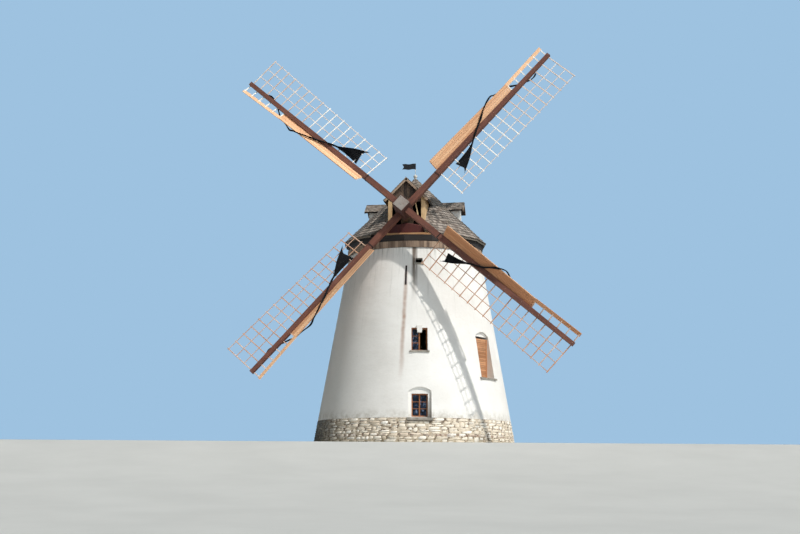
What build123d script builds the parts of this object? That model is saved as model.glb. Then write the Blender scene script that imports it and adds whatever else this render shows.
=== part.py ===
from build123d import *
import math
import os

# Traditional tower windmill. Millimetres, +Z up, origin on the tower's axis at ground level.
# The mill faces -Y. Azimuths are degrees round the tower from -Y towards +X.

# Plinth and tower wall
plinth_height = 1200.0
plinth_foot_radius = 5200.0
wall_foot_radius = 5000.0
wall_head_radius = 3500.0
wall_height = 8600.0
room_foot_radius = 3950.0
room_head_radius = 2900.0
wall_segments = 6
wall_joint_azimuth = -18.0
plinth_segments = 4
plinth_joint_azimuth = -33.0

# Floors
ground_floor_thickness = 150.0
upper_floor_thickness = 200.0
first_floor_rise = 1750.0
storey_height = 3400.0

# Window columns and their rows
window_azimuths = (12.0, 132.0, 252.0)
low_window_width = 800.0
low_window_rise = 50.0
low_window_height = 1120.0
niche_width = 1120.0
niche_height = 1300.0
niche_rise = 200.0
niche_setback = 90.0
low_window_setback = 240.0
middle_window_width = 800.0
middle_window_breast = 1550.0
middle_window_height = 1140.0
middle_window_setback = 160.0
vent_width = 350.0
vent_drop = 560.0
vent_height = 250.0

# Window joinery and dressings
frame_bar = 60.0
frame_depth = 70.0
glass_thickness = 6.0
low_sill_width = 1280.0
low_sill_thickness = 150.0
low_sill_depth = 420.0
low_sill_nose = 100.0
middle_sill_width = 960.0
vent_sill_width = 480.0
sill_thickness = 90.0
sill_depth = 300.0
sill_nose = 60.0
keystone_width = 290.0
keystone_foot_width = 220.0
keystone_height = 350.0
keystone_hang = 240.0
keystone_depth = 200.0
keystone_nose = 40.0

# Loading door, closed by a boarded shutter
loading_azimuth = 62.0
loading_width = 1150.0
loading_threshold = 350.0
loading_height = 2100.0
loading_rise = 240.0
loading_setback = 100.0
loading_sill_width = 1400.0
shutter_thickness = 60.0
shutter_head_gap = 100.0

# Entrance
entrance_azimuth = 192.0
entrance_width = 1100.0
entrance_height = 2000.0
entrance_setback = 250.0
door_thickness = 60.0
ledge_height = 120.0
ledge_thickness = 30.0
ledge_places = (0.15, 0.5, 0.85)

# Iron wall anchor
anchor_azimuth = 2.0
anchor_width = 80.0
anchor_thickness = 25.0
anchor_length = 1000.0
anchor_drop = 1460.0

# Curb and the cap's ring
curb_height = 330.0
curb_proud = 40.0
curb_inner_radius = 2950.0
cap_ring_height = 160.0
cap_ring_radius = 3500.0

# Roof
roof_sides = 16
eave_radius = 3740.0
eave_rise = 250.0
roof_rise = 3659.7
roof_thickness = 130.0
roof_tip_radius = 60.0
front_cut = 3150.0
fascia_inset = 20.0
fascia_height = 110.0
skirt_radius = 3600.0
skirt_clearance = 20.0
eave_board_thickness = 30.0
verge_thickness = 50.0
verge_depth = 150.0

# Front wall under the windshaft
front_sill_half_length = 1450.0
front_sill_depth = 280.0
front_sill_height = 130.0
front_wall_setback = 150.0
front_wall_thickness = 50.0
front_panel_height = 560.0

# Hood over the windshaft
hood_drop = 700.0
hood_half_width = 1150.0
hood_slope = 1.0
hood_roof_thickness = 80.0
hood_front = 3100.0
hood_half_room = 950.0
hood_cheek = 50.0
hood_post = 140.0
hood_gable_height = 1120.0
hood_gable_thickness = 40.0
hood_back = 400.0

# Side dormers
dormer_drop = 1400.0
dormer_half_width = 620.0
dormer_slope = 0.8
dormer_roof_thickness = 70.0
dormer_reach = 2620.0
dormer_overhang = 200.0
dormer_half_room = 450.0
dormer_wall = 60.0
dormer_back = 1000.0
dormer_azimuths = (90.0, -90.0)

# Cap framing
sheer_offset = 700.0
sheer_width = 240.0
sheer_height = 200.0
sheer_front = 3130.0
sheer_back = 3150.0
breast_half_width = 740.0
breast_post_height = 360.0
breast_post_width = 160.0
breast_beam_height = 300.0
neck_block_half_width = 320.0
neck_block_depth = 180.0
neck_block_cover = 60.0
tail_beam_depth = 260.0
tail_block_half_width = 220.0

# Windshaft, tilted up at its front end
shaft_tilt = 10.0
hub_forward = 4150.0
hub_rise = 1620.0
shaft_radius = 280.0
neck_radius = 220.0
neck_start = 1400.0
neck_length = 300.0
tail_radius = 120.0
tail_start = 6050.0
tail_length = 300.0
poll_width = 650.0
poll_nose = 515.0
poll_back = 730.0
poll_chamfer = 25.0

# Stocks
rest_angle = 49.1
stock_spacing = 420.0
sail_reach = 11150.0
stock_hub_width = 300.0
stock_tip_width = 200.0
stock_hub_depth = 300.0
stock_tip_depth = 180.0
stock_straight = 700.0

# Sail lattice on the trailing side, twisted from heel to tip
heel_radius = 2660.0
tip_radius = 11050.0
bar_count = 17
bar_width = 45.0
bar_thickness = 35.0
bar_overrun = 70.0
uplong_width = 40.0
uplong_thickness = 22.0
uplong_shares = (0.36, 0.68, 1.0)
heel_trail = 1500.0
heel_back = 400.0
tip_trail = 1780.0
tip_back = 20.0

# Leading boards and the open frame beyond them
board_end_radius = 8400.0
board_thickness = 28.0
heel_lead = 540.0
heel_forward = 600.0
board_end_lead = 520.0
board_end_forward = 260.0
tip_lead = 590.0
tip_forward = 150.0
lead_root_lead = 60.0
lead_root_forward = 20.0
rung_width = 45.0
rung_thickness = 28.0
edge_lath_width = 50.0
edge_lath_thickness = 40.0
outer_lath_width = 110.0
outer_lath_thickness = 30.0
lath_splice = 30.0

# Furled sailcloth: stations along the stock, across it and in front of it
cloth_radius = 62.0
cloth_heel = (3300.0, -900.0)
cloth_heel_lift = 40.0
cloth_spread = (4350.0, -330.0)
cloth_over_stock = (5350.0, -20.0)
cloth_on_board = (6500.0, 430.0)
cloth_board_lift = 220.0
cloth_at_edge = (7300.0, 690.0)
cloth_edge_lift = 300.0
cloth_bend_radius = 400.0

# Finial and weather vane
ball_radius = 105.0
ball_rise = 110.0
rod_radius = 12.0
rod_length = 750.0
collar_radius = 26.0
collar_height = 30.0
vane_rise = 390.0
vane_height = 330.0
vane_length = 720.0
vane_thickness = 6.0
vane_notch = 90.0
vane_wave = 25.0
vane_wave_places = (0.25, 0.5, 0.75)
sleeve_radius = 22.0

# Gap between pieces that seat on each other, and how far a cut runs past the wall
seat = 0.3
cut_margin = 500.0

# Heights and slopes that follow from the sizes above
wall_top = plinth_height + wall_height
first_floor_height = plinth_height + first_floor_rise
upper_floor_heights = (first_floor_height, first_floor_height + storey_height)
niche_sill = plinth_height
niche_spring = niche_sill + niche_height
low_window_sill = niche_sill + low_window_rise
low_window_head = low_window_sill + low_window_height
middle_window_sill = first_floor_height + middle_window_breast
middle_window_head = middle_window_sill + middle_window_height
vent_head = wall_top - vent_drop
vent_sill = vent_head - vent_height
loading_sill = first_floor_height + loading_threshold
loading_head = loading_sill + loading_height
entrance_sill = ground_floor_thickness
entrance_head = entrance_sill + entrance_height
anchor_height = wall_top - anchor_drop
batter = (wall_foot_radius - wall_head_radius) / wall_height
curb_top = wall_top + curb_height
cap_foot = curb_top + seat
ring_top = cap_foot + cap_ring_height
eave_height = ring_top + eave_rise
roof_slope = roof_rise / eave_radius
apex_height = eave_height + roof_rise
hub_height = curb_top + hub_rise
hood_ridge = apex_height - hood_drop
dormer_ridge = apex_height - dormer_drop
front_sill_foot = ring_top + sheer_height
front_panel_foot = front_sill_foot + front_sill_height
front_panel_top = front_panel_foot + front_panel_height
ball_height = apex_height + ball_rise
rod_top = ball_height + rod_length
vane_foot = ball_height + vane_rise
tilt = math.radians(shaft_tilt)
bar_pitch = (tip_radius - heel_radius) / (bar_count - 1)
shaft_direction = (0.0, -math.cos(tilt), math.sin(tilt))
rotor_frame = Location(Plane(origin=(0, -hub_forward, hub_height), x_dir=(1, 0, 0), z_dir=shaft_direction))


def save(shape, node):
    export_step(shape, f"parts/{node}.step")


def turn(shape, azimuth):
    return Rot(0, 0, azimuth) * shape


def block(x0, x1, y0, y1, z0, z1):
    size = Box(x1 - x0, y1 - y0, z1 - z0)
    return Pos((x0 + x1) / 2, (y0 + y1) / 2, (z0 + z1) / 2) * size


def wall_radius(z):
    return wall_foot_radius - batter * (z - plinth_height)


def room_radius(z):
    return room_foot_radius - (room_foot_radius - room_head_radius) * z / wall_top


def ring_face(points):
    return make_face(Polyline([(0, -radius, z) for radius, z in points], close=True))


def turned(points, degrees=360.0):
    return revolve(ring_face(points), axis=Axis.Z, revolution_arc=degrees)


# An upright opening or panel with a flat or segmental head, between two distances from the axis
def arched(width, foot, spring, rise, inner, outer):
    left, right = -width / 2, width / 2
    sides = [Line((left, 0, spring), (left, 0, foot)), Line((left, 0, foot), (right, 0, foot))]
    sides.append(Line((right, 0, foot), (right, 0, spring)))
    if rise > 0:
        sides.append(ThreePointArc((right, 0, spring), (0, 0, spring + rise), (left, 0, spring)))
    else:
        sides.append(Line((right, 0, spring), (left, 0, spring)))
    outline = make_face(Curve() + sides)
    return Pos(0, -inner, 0) * extrude(outline, amount=outer - inner, dir=(0, -1, 0))


# Distance from the axis of an upright face set back from the wall at a given height
def face_distance(head, setback):
    return wall_radius(head) - setback


beyond_wall = plinth_foot_radius + cut_margin
inside_wall = room_head_radius - cut_margin
niche_face = face_distance(niche_spring + niche_rise, niche_setback)
low_window_face = face_distance(niche_spring + niche_rise, low_window_setback)
middle_window_face = face_distance(middle_window_head, middle_window_setback)
loading_face = face_distance(loading_head + loading_rise, loading_setback)
entrance_face = face_distance(entrance_head, entrance_setback)


# Dressings

def sill_stone(width, top):
    front = wall_radius(top) + sill_nose
    return block(-width / 2, width / 2, -front, -front + sill_depth, top - sill_thickness, top)


def low_sill_stone():
    top = niche_sill
    front = wall_radius(top) + low_sill_nose
    half = low_sill_width / 2
    return block(-half, half, -front, -front + low_sill_depth, top - low_sill_thickness, top)


# Wedge that hangs a little way into the window's head
def keystone():
    foot = middle_window_head - keystone_hang
    front = wall_radius(foot) + keystone_nose
    half_foot, half_head = keystone_foot_width / 2, keystone_width / 2
    head = foot + keystone_height
    outline = [(-half_foot, 0, foot), (half_foot, 0, foot), (half_head, 0, head), (-half_head, 0, head)]
    wedge = extrude(make_face(Polyline(outline, close=True)), amount=keystone_depth, dir=(0, 1, 0))
    return Pos(0, -front, 0) * wedge


def column_dressings():
    return [
        low_sill_stone(),
        sill_stone(middle_sill_width, middle_window_sill),
        sill_stone(vent_sill_width, vent_sill),
        keystone(),
    ]


def loading_sill_stone():
    return sill_stone(loading_sill_width, loading_sill)


# Tower

def column_openings():
    niche = arched(niche_width, niche_sill, niche_spring, niche_rise, niche_face, beyond_wall)
    low = arched(low_window_width, low_window_sill, low_window_head, 0, inside_wall, beyond_wall)
    middle = arched(middle_window_width, middle_window_sill, middle_window_head, 0, inside_wall, beyond_wall)
    vent = arched(vent_width, vent_sill, vent_head, 0, inside_wall, beyond_wall)
    return [niche, low, middle, vent]


# A flat-headed doorway under a shallow arched niche
def loading_opening():
    doorway = arched(loading_width, loading_sill, loading_head, 0, inside_wall, beyond_wall)
    niche = arched(loading_width, loading_sill, loading_head, loading_rise, loading_face, beyond_wall)
    return doorway + niche


def entrance_opening():
    return arched(entrance_width, entrance_sill, entrance_head, 0, inside_wall, beyond_wall)


def wall_cuts():
    cuts = []
    for azimuth in window_azimuths:
        cuts += [turn(piece, azimuth) for piece in column_openings() + column_dressings()]
    cuts += [turn(piece, loading_azimuth) for piece in (loading_opening(), loading_sill_stone())]
    cuts.append(turn(entrance_opening(), entrance_azimuth))
    return cuts


def tower_segments(points, count, first_azimuth, cuts):
    sweep_angle = 360.0 / count
    whole = turned(points, sweep_angle)
    segments = []
    for index in range(count):
        segment = turn(whole, first_azimuth + index * sweep_angle)
        for cut in cuts:
            segment -= cut
        segments.append(segment)
    return segments


def plinth_points():
    return [
        (room_radius(0), 0),
        (plinth_foot_radius, 0),
        (wall_foot_radius, plinth_height),
        (room_radius(plinth_height), plinth_height),
    ]


def wall_points():
    return [
        (room_radius(plinth_height), plinth_height),
        (wall_foot_radius, plinth_height),
        (wall_head_radius, wall_top),
        (room_radius(wall_top), wall_top),
    ]


def floor_disc(top, thickness):
    foot = top - thickness
    return turned([(0, foot), (room_radius(foot) - seat, foot), (room_radius(top) - seat, top), (0, top)])


def curb_ring():
    outer = wall_head_radius + curb_proud
    inner = curb_inner_radius
    return turned([(inner, wall_top), (outer, wall_top), (outer, curb_top), (inner, curb_top)])


# Window joinery

def window_frame(width, foot, head, face):
    clear = seat
    outer = arched(width - 2 * clear, foot + clear, head - clear, 0, face - frame_depth, face)
    half = (width - 2 * clear - 3 * frame_bar) / 2
    for side in (-1, 1):
        middle = side * (frame_bar + half) / 2
        light = block(middle - half / 2, middle + half / 2, -face, frame_depth - face,
                      foot + clear + frame_bar, head - clear - frame_bar)
        outer -= light
    return outer


def pane(width, foot, head, face, side):
    half = (width - 2 * seat - 3 * frame_bar) / 2
    middle = side * (frame_bar + half) / 2
    depth = face - frame_depth / 2
    low = foot + frame_bar + 2 * seat
    high = head - frame_bar - 2 * seat
    return block(middle - half / 2 + seat, middle + half / 2 - seat,
                 -depth - glass_thickness / 2, -depth + glass_thickness / 2, low, high)


low_window = (low_window_width, low_window_sill, low_window_head, low_window_face)
middle_window = (middle_window_width, middle_window_sill, middle_window_head, middle_window_face)


def window_frames():
    frames = []
    for azimuth in window_azimuths:
        frames += [turn(window_frame(*window), azimuth) for window in (low_window, middle_window)]
    return Compound(frames)


# The right half of the front middle window stands open
def window_panes():
    panes = []
    for azimuth in window_azimuths:
        for window in (low_window, middle_window):
            sides = (-1,) if window is middle_window and azimuth == window_azimuths[0] else (-1, 1)
            panes += [turn(pane(*window, side), azimuth) for side in sides]
    return Compound(panes)


def sill_stones():
    stones = []
    for azimuth in window_azimuths:
        stones += [turn(stone, azimuth) for stone in column_dressings()]
    stones.append(turn(loading_sill_stone(), loading_azimuth))
    return Compound(stones)


def loading_shutter():
    foot = loading_sill + seat
    width = loading_width - 2 * seat
    inner = loading_face - shutter_thickness
    panel = arched(width, foot, loading_head - shutter_head_gap, 0, inner, loading_face)
    return turn(panel, loading_azimuth)


def entrance_door():
    inner = entrance_face - door_thickness
    width = entrance_width - 2 * seat
    leaf = arched(width, entrance_sill + seat, entrance_head - seat, 0, inner, entrance_face)
    for share in ledge_places:
        middle = entrance_sill + share * entrance_height
        leaf += block(-width / 2, width / 2, -inner, -inner + ledge_thickness,
                      middle - ledge_height / 2, middle + ledge_height / 2)
    return turn(leaf, entrance_azimuth)


def wall_anchor():
    lean = math.degrees(math.atan(batter))
    offset = anchor_thickness / 2 + seat
    bar = Rot(-lean, 0, 0) * Pos(0, -offset, 0) * Box(anchor_width, anchor_thickness, anchor_length)
    return turn(Pos(0, -wall_radius(anchor_height), anchor_height) * bar, anchor_azimuth)


# Roof

def polygon_face(radius, z):
    return Pos(0, 0, z) * RegularPolygon(radius, roof_sides)


# Ratio of a side's distance from the axis to a corner's
side_share = math.cos(math.pi / roof_sides)


# Pyramid with the roof's slope, lowered by a given drop
def pyramid(drop=0.0):
    foot_radius = eave_radius - drop / roof_slope
    height = (foot_radius - roof_tip_radius) * roof_slope
    lean = math.degrees(math.atan(side_share / roof_slope))
    return extrude(polygon_face(foot_radius, eave_height), amount=height, dir=(0, 0, 1), taper=lean)


def polygon_prism(radius, z0, z1):
    return extrude(polygon_face(radius, z0), amount=z1 - z0, dir=(0, 0, 1))


far = eave_radius * 2
front_space = block(-far, far, -far, -front_cut, 0, apex_height * 2)


# Gabled solid whose ridge runs along Y, between two distances in front of the axis
def gable_prism(half_width, foot, ridge, slope, back, front):
    eave = ridge - slope * half_width
    points = [(-half_width, 0, foot), (half_width, 0, foot), (half_width, 0, eave), (0, 0, ridge)]
    points.append((-half_width, 0, eave))
    profile = make_face(Polyline(points, close=True))
    return Pos(0, -back, 0) * extrude(profile, amount=front - back, dir=(0, -1, 0))


def gable_roof(half_width, ridge, slope, thickness, back, front):
    eave = ridge - slope * half_width
    upper = [(-half_width, 0, eave), (0, 0, ridge), (half_width, 0, eave)]
    points = upper + [(x, 0, z - thickness) for x, _, z in reversed(upper)]
    profile = make_face(Polyline(points, close=True))
    return Pos(0, -back, 0) * extrude(profile, amount=front - back, dir=(0, -1, 0))


hood_room_ridge = hood_ridge - hood_roof_thickness - seat
dormer_room_ridge = dormer_ridge - dormer_roof_thickness - seat
dormer_face = dormer_reach - dormer_overhang
front_wall_face = front_cut - front_wall_setback
front_wall_back = front_wall_face - front_wall_thickness


def hood_room(inset):
    half = hood_half_room - inset
    return gable_prism(half, eave_height, hood_room_ridge - inset, hood_slope, hood_back, far)


def dormer_room(inset, front, foot=None):
    half = dormer_half_room - inset
    low = eave_height if foot is None else foot
    return gable_prism(half, low, dormer_room_ridge - inset, dormer_slope, dormer_back, front)


def roof_shell():
    shell = pyramid() - pyramid(roof_thickness)
    shell -= front_space
    shell -= hood_room(hood_cheek) & block(-far, far, -far, -hood_back, 0, hood_room_ridge)
    for azimuth in dormer_azimuths:
        shell -= turn(dormer_room(dormer_wall, dormer_face - dormer_wall), azimuth)
    return shell


def polygon_ring(radius, thickness, z0, z1):
    inner = radius - thickness / side_share
    return polygon_prism(radius, z0, z1) - polygon_prism(inner, z0, z1)


# Fascia, soffit and the skirt that hides the joint with the curb, with a cover over its front stretch
def eave_boards():
    fascia_radius = eave_radius - fascia_inset
    fascia_foot = eave_height - fascia_height
    skirt_foot = curb_top + skirt_clearance
    skirt_top = fascia_foot + eave_board_thickness
    eaves = polygon_ring(fascia_radius, eave_board_thickness, fascia_foot, eave_height)
    eaves += polygon_ring(fascia_radius, fascia_radius - skirt_radius, fascia_foot, skirt_top)
    eaves -= front_space
    eaves += polygon_ring(skirt_radius, eave_board_thickness, skirt_foot, skirt_top)
    cover = polygon_prism(skirt_radius, fascia_foot, skirt_top) & front_space
    return eaves + cover


def cap_ring():
    return turned([(curb_inner_radius, cap_foot), (cap_ring_radius, cap_foot),
                   (cap_ring_radius, ring_top), (curb_inner_radius, ring_top)])


def verge_boards():
    band = pyramid(seat) - pyramid(verge_depth)
    board = band & block(-far, far, -front_cut - verge_thickness - seat, -front_cut - seat, 0, apex_height)
    return board - block(-hood_half_room - seat, hood_half_room + seat, -far, 0, 0, apex_height)


def front_sill():
    front = front_cut - seat
    return block(-front_sill_half_length, front_sill_half_length, -front, -front + front_sill_depth,
                 front_sill_foot, front_panel_foot)


def front_wall():
    boards = block(-far, far, -front_wall_face, -front_wall_back, front_panel_foot, apex_height)
    boards &= pyramid(roof_thickness + seat)
    boards &= block(-front_sill_half_length, front_sill_half_length, -far, 0, 0, front_panel_top)
    return boards - block(-hood_half_room, hood_half_room, -far, 0, 0, apex_height)


def front_panel():
    half = hood_half_room - seat
    boards = block(-half, half, -front_wall_face, -front_wall_back, front_panel_foot, front_panel_top)
    return boards & pyramid(roof_thickness + seat)


def hood_roof():
    roof = gable_roof(hood_half_width, hood_ridge, hood_slope, hood_roof_thickness, hood_back, hood_front)
    return roof - pyramid(-seat)


def hood_frame():
    foot = front_panel_foot
    room = hood_room(0)
    cheeks = room - hood_room(hood_cheek) - pyramid(-seat)
    cheeks &= block(-far, far, -front_wall_back + seat, 0, eave_height, apex_height)
    cheeks &= block(-far, far, -far, 0, 0, hood_room_ridge - hood_half_room + hood_cheek / 2)
    sides = []
    for side in (-1, 1):
        outer = hood_half_room - hood_cheek
        x0, x1 = sorted((side * outer, side * (outer - hood_post)))
        post_front = -front_wall_back + seat
        post = block(x0, x1, post_front, post_front + hood_post, foot, apex_height)
        post &= gable_prism(hood_half_room, foot, hood_room_ridge, hood_slope, 0, far)
        cheek = cheeks & block(min(0, side * far), max(0, side * far), -far, far, 0, apex_height)
        sides.append(post + cheek)
    return Compound(sides)


def hood_gable():
    half = hood_half_room - hood_cheek - hood_post - seat
    front = front_wall_back - hood_post / 2
    foot = hood_room_ridge - hood_gable_height
    return gable_prism(half, foot, hood_room_ridge, hood_slope, front - hood_gable_thickness, front)


def dormer_walls():
    walls = []
    for azimuth in dormer_azimuths:
        shell = dormer_room(0, dormer_face) - dormer_room(dormer_wall, dormer_face - dormer_wall)
        walls.append(turn(shell - pyramid(-seat), azimuth))
    return Compound(walls)


def dormer_roofs():
    roofs = []
    for azimuth in dormer_azimuths:
        roof = gable_roof(dormer_half_width, dormer_ridge, dormer_slope, dormer_roof_thickness,
                          dormer_back, dormer_reach)
        roofs.append(turn(roof - pyramid(-seat), azimuth))
    return Compound(roofs)


# Cap framing

def sheers():
    beams = []
    for side in (-1, 1):
        middle = side * sheer_offset
        beams.append(block(middle - sheer_width / 2, middle + sheer_width / 2, -sheer_front, sheer_back,
                           ring_top, ring_top + sheer_height))
    return Compound(beams)


# Cylinder round the shaft's axis between two distances behind the front stock
def shaft_cylinder(radius, start, length):
    return rotor_frame * (Pos(0, 0, -start - length / 2) * Cylinder(radius, length))


def shaft_point(distance):
    return (-hub_forward + distance * math.cos(tilt), hub_height - distance * math.sin(tilt))


def breast_beam():
    neck_y, neck_z = shaft_point(neck_start + neck_length / 2)
    y0 = neck_y - neck_block_depth / 2
    y1 = neck_y + neck_block_depth / 2
    foot = ring_top + sheer_height
    beam_foot = foot + breast_post_height
    beam_top = beam_foot + breast_beam_height
    frame = block(-breast_half_width, breast_half_width, y0, y1, beam_foot, beam_top)
    for side in (-1, 1):
        x0, x1 = sorted((side * breast_half_width, side * (breast_half_width - breast_post_width)))
        frame += block(x0, x1, y0, y1, foot, beam_foot)
    frame += block(-neck_block_half_width, neck_block_half_width, y0, y1, beam_top, neck_z - neck_block_cover)
    return frame - shaft_cylinder(neck_radius + seat, neck_start - neck_length, neck_length * 3)


def tail_beam():
    tail_y, tail_z = shaft_point(tail_start + tail_length / 2)
    y0 = tail_y - tail_beam_depth / 2
    y1 = tail_y + tail_beam_depth / 2
    half = sheer_offset - sheer_width / 2
    beam = block(-half, half, y0, y1, ring_top, ring_top + sheer_height)
    beam += block(-tail_block_half_width, tail_block_half_width, y0, y1, ring_top + sheer_height, tail_z)
    return beam - shaft_cylinder(tail_radius + seat, tail_start - tail_length, tail_length * 3)


# Windshaft and poll end

def windshaft():
    profile = [
        (0, -poll_back),
        (shaft_radius, -poll_back),
        (shaft_radius, -neck_start),
        (neck_radius, -neck_start),
        (neck_radius, -neck_start - neck_length),
        (shaft_radius, -neck_start - neck_length),
        (shaft_radius, -tail_start),
        (tail_radius, -tail_start),
        (tail_radius, -tail_start - tail_length),
        (0, -tail_start - tail_length),
    ]
    return rotor_frame * turned(profile)


def poll_end():
    length = poll_nose + poll_back
    block_end = Pos(0, 0, (poll_nose - poll_back) / 2) * Box(poll_width, poll_width, length)
    chamfered = chamfer(block_end.faces().sort_by(Axis.Z)[-1].edges(), poll_chamfer)
    hole = 2 * seat
    front = Box(stock_hub_width + hole, 2 * poll_width, stock_hub_depth + hole)
    rear = Pos(0, 0, -stock_spacing) * Box(2 * poll_width, stock_hub_width + hole, stock_hub_depth + hole)
    return rotor_frame * (Rot(0, 0, rest_angle) * (chamfered - front - rear))


# Stock along X, straight on its front face and tapered from the poll end to its tips
def stock():
    def taper(hub, tip):
        return [(-sail_reach, tip), (-stock_straight, hub), (stock_straight, hub), (sail_reach, tip)]

    wide = [(x, y / 2) for x, y in taper(stock_hub_width, stock_tip_width)]
    plan = [(x, y, 0) for x, y in wide] + [(x, -y, 0) for x, y in reversed(wide)]
    flat = extrude(make_face(Polyline(plan, close=True)), amount=2 * stock_hub_depth, dir=(0, 0, 1))
    flat = Pos(0, 0, -stock_hub_depth) * flat
    front = stock_hub_depth / 2
    deep = [(x, 0, front - depth) for x, depth in taper(stock_hub_depth, stock_tip_depth)]
    side = deep + [(sail_reach, 0, front), (-sail_reach, 0, front)]
    upright = extrude(make_face(Polyline(side, close=True)), amount=2 * stock_hub_width, dir=(0, 1, 0))
    return flat & (Pos(0, -stock_hub_width, 0) * upright)


# Sails, each drawn with its stock along +X, its leading edge towards +Y and the wind on +Z

def between(start, end, share):
    return tuple(a + (b - a) * share for a, b in zip(start, end))


# Squared bar between two points, its width across the given direction
def bar(start, end, width, thickness, face):
    run = Vector(*end) - Vector(*start)
    middle = (Vector(*start) + Vector(*end)) * 0.5
    along = run.normalized()
    plane = Plane(origin=middle, x_dir=along, z_dir=face - along * face.dot(along))
    return Location(plane) * Box(run.length, width, thickness)


def trail_point(radius, share):
    along = (radius - heel_radius) / (tip_radius - heel_radius)
    trail = heel_trail + (tip_trail - heel_trail) * along
    back = heel_back + (tip_back - heel_back) * along
    return (radius, -trail * share, -back * share)


def lattice():
    grid = None
    for index in range(bar_count):
        radius = heel_radius + index * bar_pitch
        outer = Vector(*trail_point(radius, 1.0))
        reach = Vector(0, outer.Y, outer.Z)
        end = outer + reach.normalized() * bar_overrun
        face = Vector(1, 0, 0).cross(reach)
        piece = bar((radius, 0, 0), tuple(end), bar_width, bar_thickness, face)
        grid = piece if grid is None else grid + piece
    for share in uplong_shares:
        start = trail_point(heel_radius - bar_overrun, share)
        end = trail_point(tip_radius + bar_overrun / 2, share)
        middle = Vector(*trail_point((heel_radius + tip_radius) / 2, 1.0))
        face = Vector(1, 0, 0).cross(Vector(0, middle.Y, middle.Z))
        grid += bar(start, end, uplong_width, uplong_thickness, face)
    return grid - stock_space()


# The stock's own shape with a seat all round, for pieces that end on it
def stock_space():
    grown = None
    for dy in (-seat, seat):
        for dz in (-seat, seat):
            copy = Pos(0, dy, dz) * stock()
            grown = copy if grown is None else grown + copy
    return grown


def lead_point(radius):
    if radius <= board_end_radius:
        share = (radius - heel_radius) / (board_end_radius - heel_radius)
        lead, forward = between((heel_lead, heel_forward), (board_end_lead, board_end_forward), share)
    else:
        share = (radius - board_end_radius) / (tip_radius - board_end_radius)
        lead, forward = between((board_end_lead, board_end_forward), (tip_lead, tip_forward), share)
    return (radius, lead, forward)


def board_section(radius):
    root = Vector(radius, lead_root_lead, lead_root_forward)
    edge = Vector(*lead_point(radius))
    across = (edge - root).normalized()
    normal = Vector(1, 0, 0).cross(across) * (board_thickness / 2)
    return make_face(Polyline([root + normal, edge + normal, edge - normal, root - normal], close=True))


def edge_lath(start, end, width, thickness):
    first, last = Vector(*lead_point(start)), Vector(*lead_point(end))
    face = Vector(1, 0, 0).cross(Vector(0, first.Y, first.Z))
    return bar(tuple(first), tuple(last), width, thickness, face)


def leading_boards():
    boards = loft([board_section(heel_radius), board_section(board_end_radius)], ruled=True)
    boards += edge_lath(heel_radius, board_end_radius, edge_lath_width, edge_lath_thickness)
    outer_start = board_end_radius - lath_splice
    boards += edge_lath(outer_start, tip_radius + bar_overrun, outer_lath_width, outer_lath_thickness)
    for index in range(bar_count):
        radius = heel_radius + index * bar_pitch
        if radius < board_end_radius:
            continue
        edge = Vector(*lead_point(radius))
        face = Vector(1, 0, 0).cross(Vector(0, edge.Y, edge.Z))
        boards += bar((radius, 0, 0), tuple(edge), rung_width, rung_thickness, face)
    return boards - stock_space()


# Furled cloth: a roll lying from the lattice heel over the stock and the boards to the leading edge
def sailcloth():
    front = stock_hub_depth / 2 + cloth_radius + seat
    points = [
        (cloth_heel[0], cloth_heel[1], cloth_heel_lift),
        (cloth_spread[0], cloth_spread[1], front),
        (cloth_over_stock[0], cloth_over_stock[1], front),
        (cloth_on_board[0], cloth_on_board[1], front + cloth_board_lift),
        (cloth_at_edge[0], cloth_at_edge[1], front + cloth_edge_lift),
    ]
    path = FilletPolyline(*points, radius=cloth_bend_radius)
    start = path % 0
    section = Plane(origin=path @ 0, z_dir=start) * Circle(cloth_radius)
    return sweep(section, path=path)


def sail_place(index):
    front_stock = index % 2 == 1
    offset = 0.0 if front_stock else -stock_spacing
    return rotor_frame * Rot(0, 0, rest_angle + 90.0 * index) * Pos(0, 0, offset)


def on_each_sail(piece):
    return Compound([sail_place(index) * piece for index in range(4)])


# Finial and vane

def finial():
    tip_height = apex_height - roof_tip_radius * roof_slope
    base = Pos(0, 0, tip_height) * Cylinder(roof_tip_radius, ball_height - tip_height,
                                            align=(Align.CENTER, Align.CENTER, Align.MIN))
    ball = Pos(0, 0, ball_height) * Sphere(ball_radius)
    rod = Pos(0, 0, ball_height) * Cylinder(rod_radius, rod_top - ball_height,
                                            align=(Align.CENTER, Align.CENTER, Align.MIN))
    collar = Pos(0, 0, vane_foot - seat - collar_height) * Cylinder(
        collar_radius, collar_height, align=(Align.CENTER, Align.CENTER, Align.MIN))
    return base + ball + rod + collar


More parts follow.
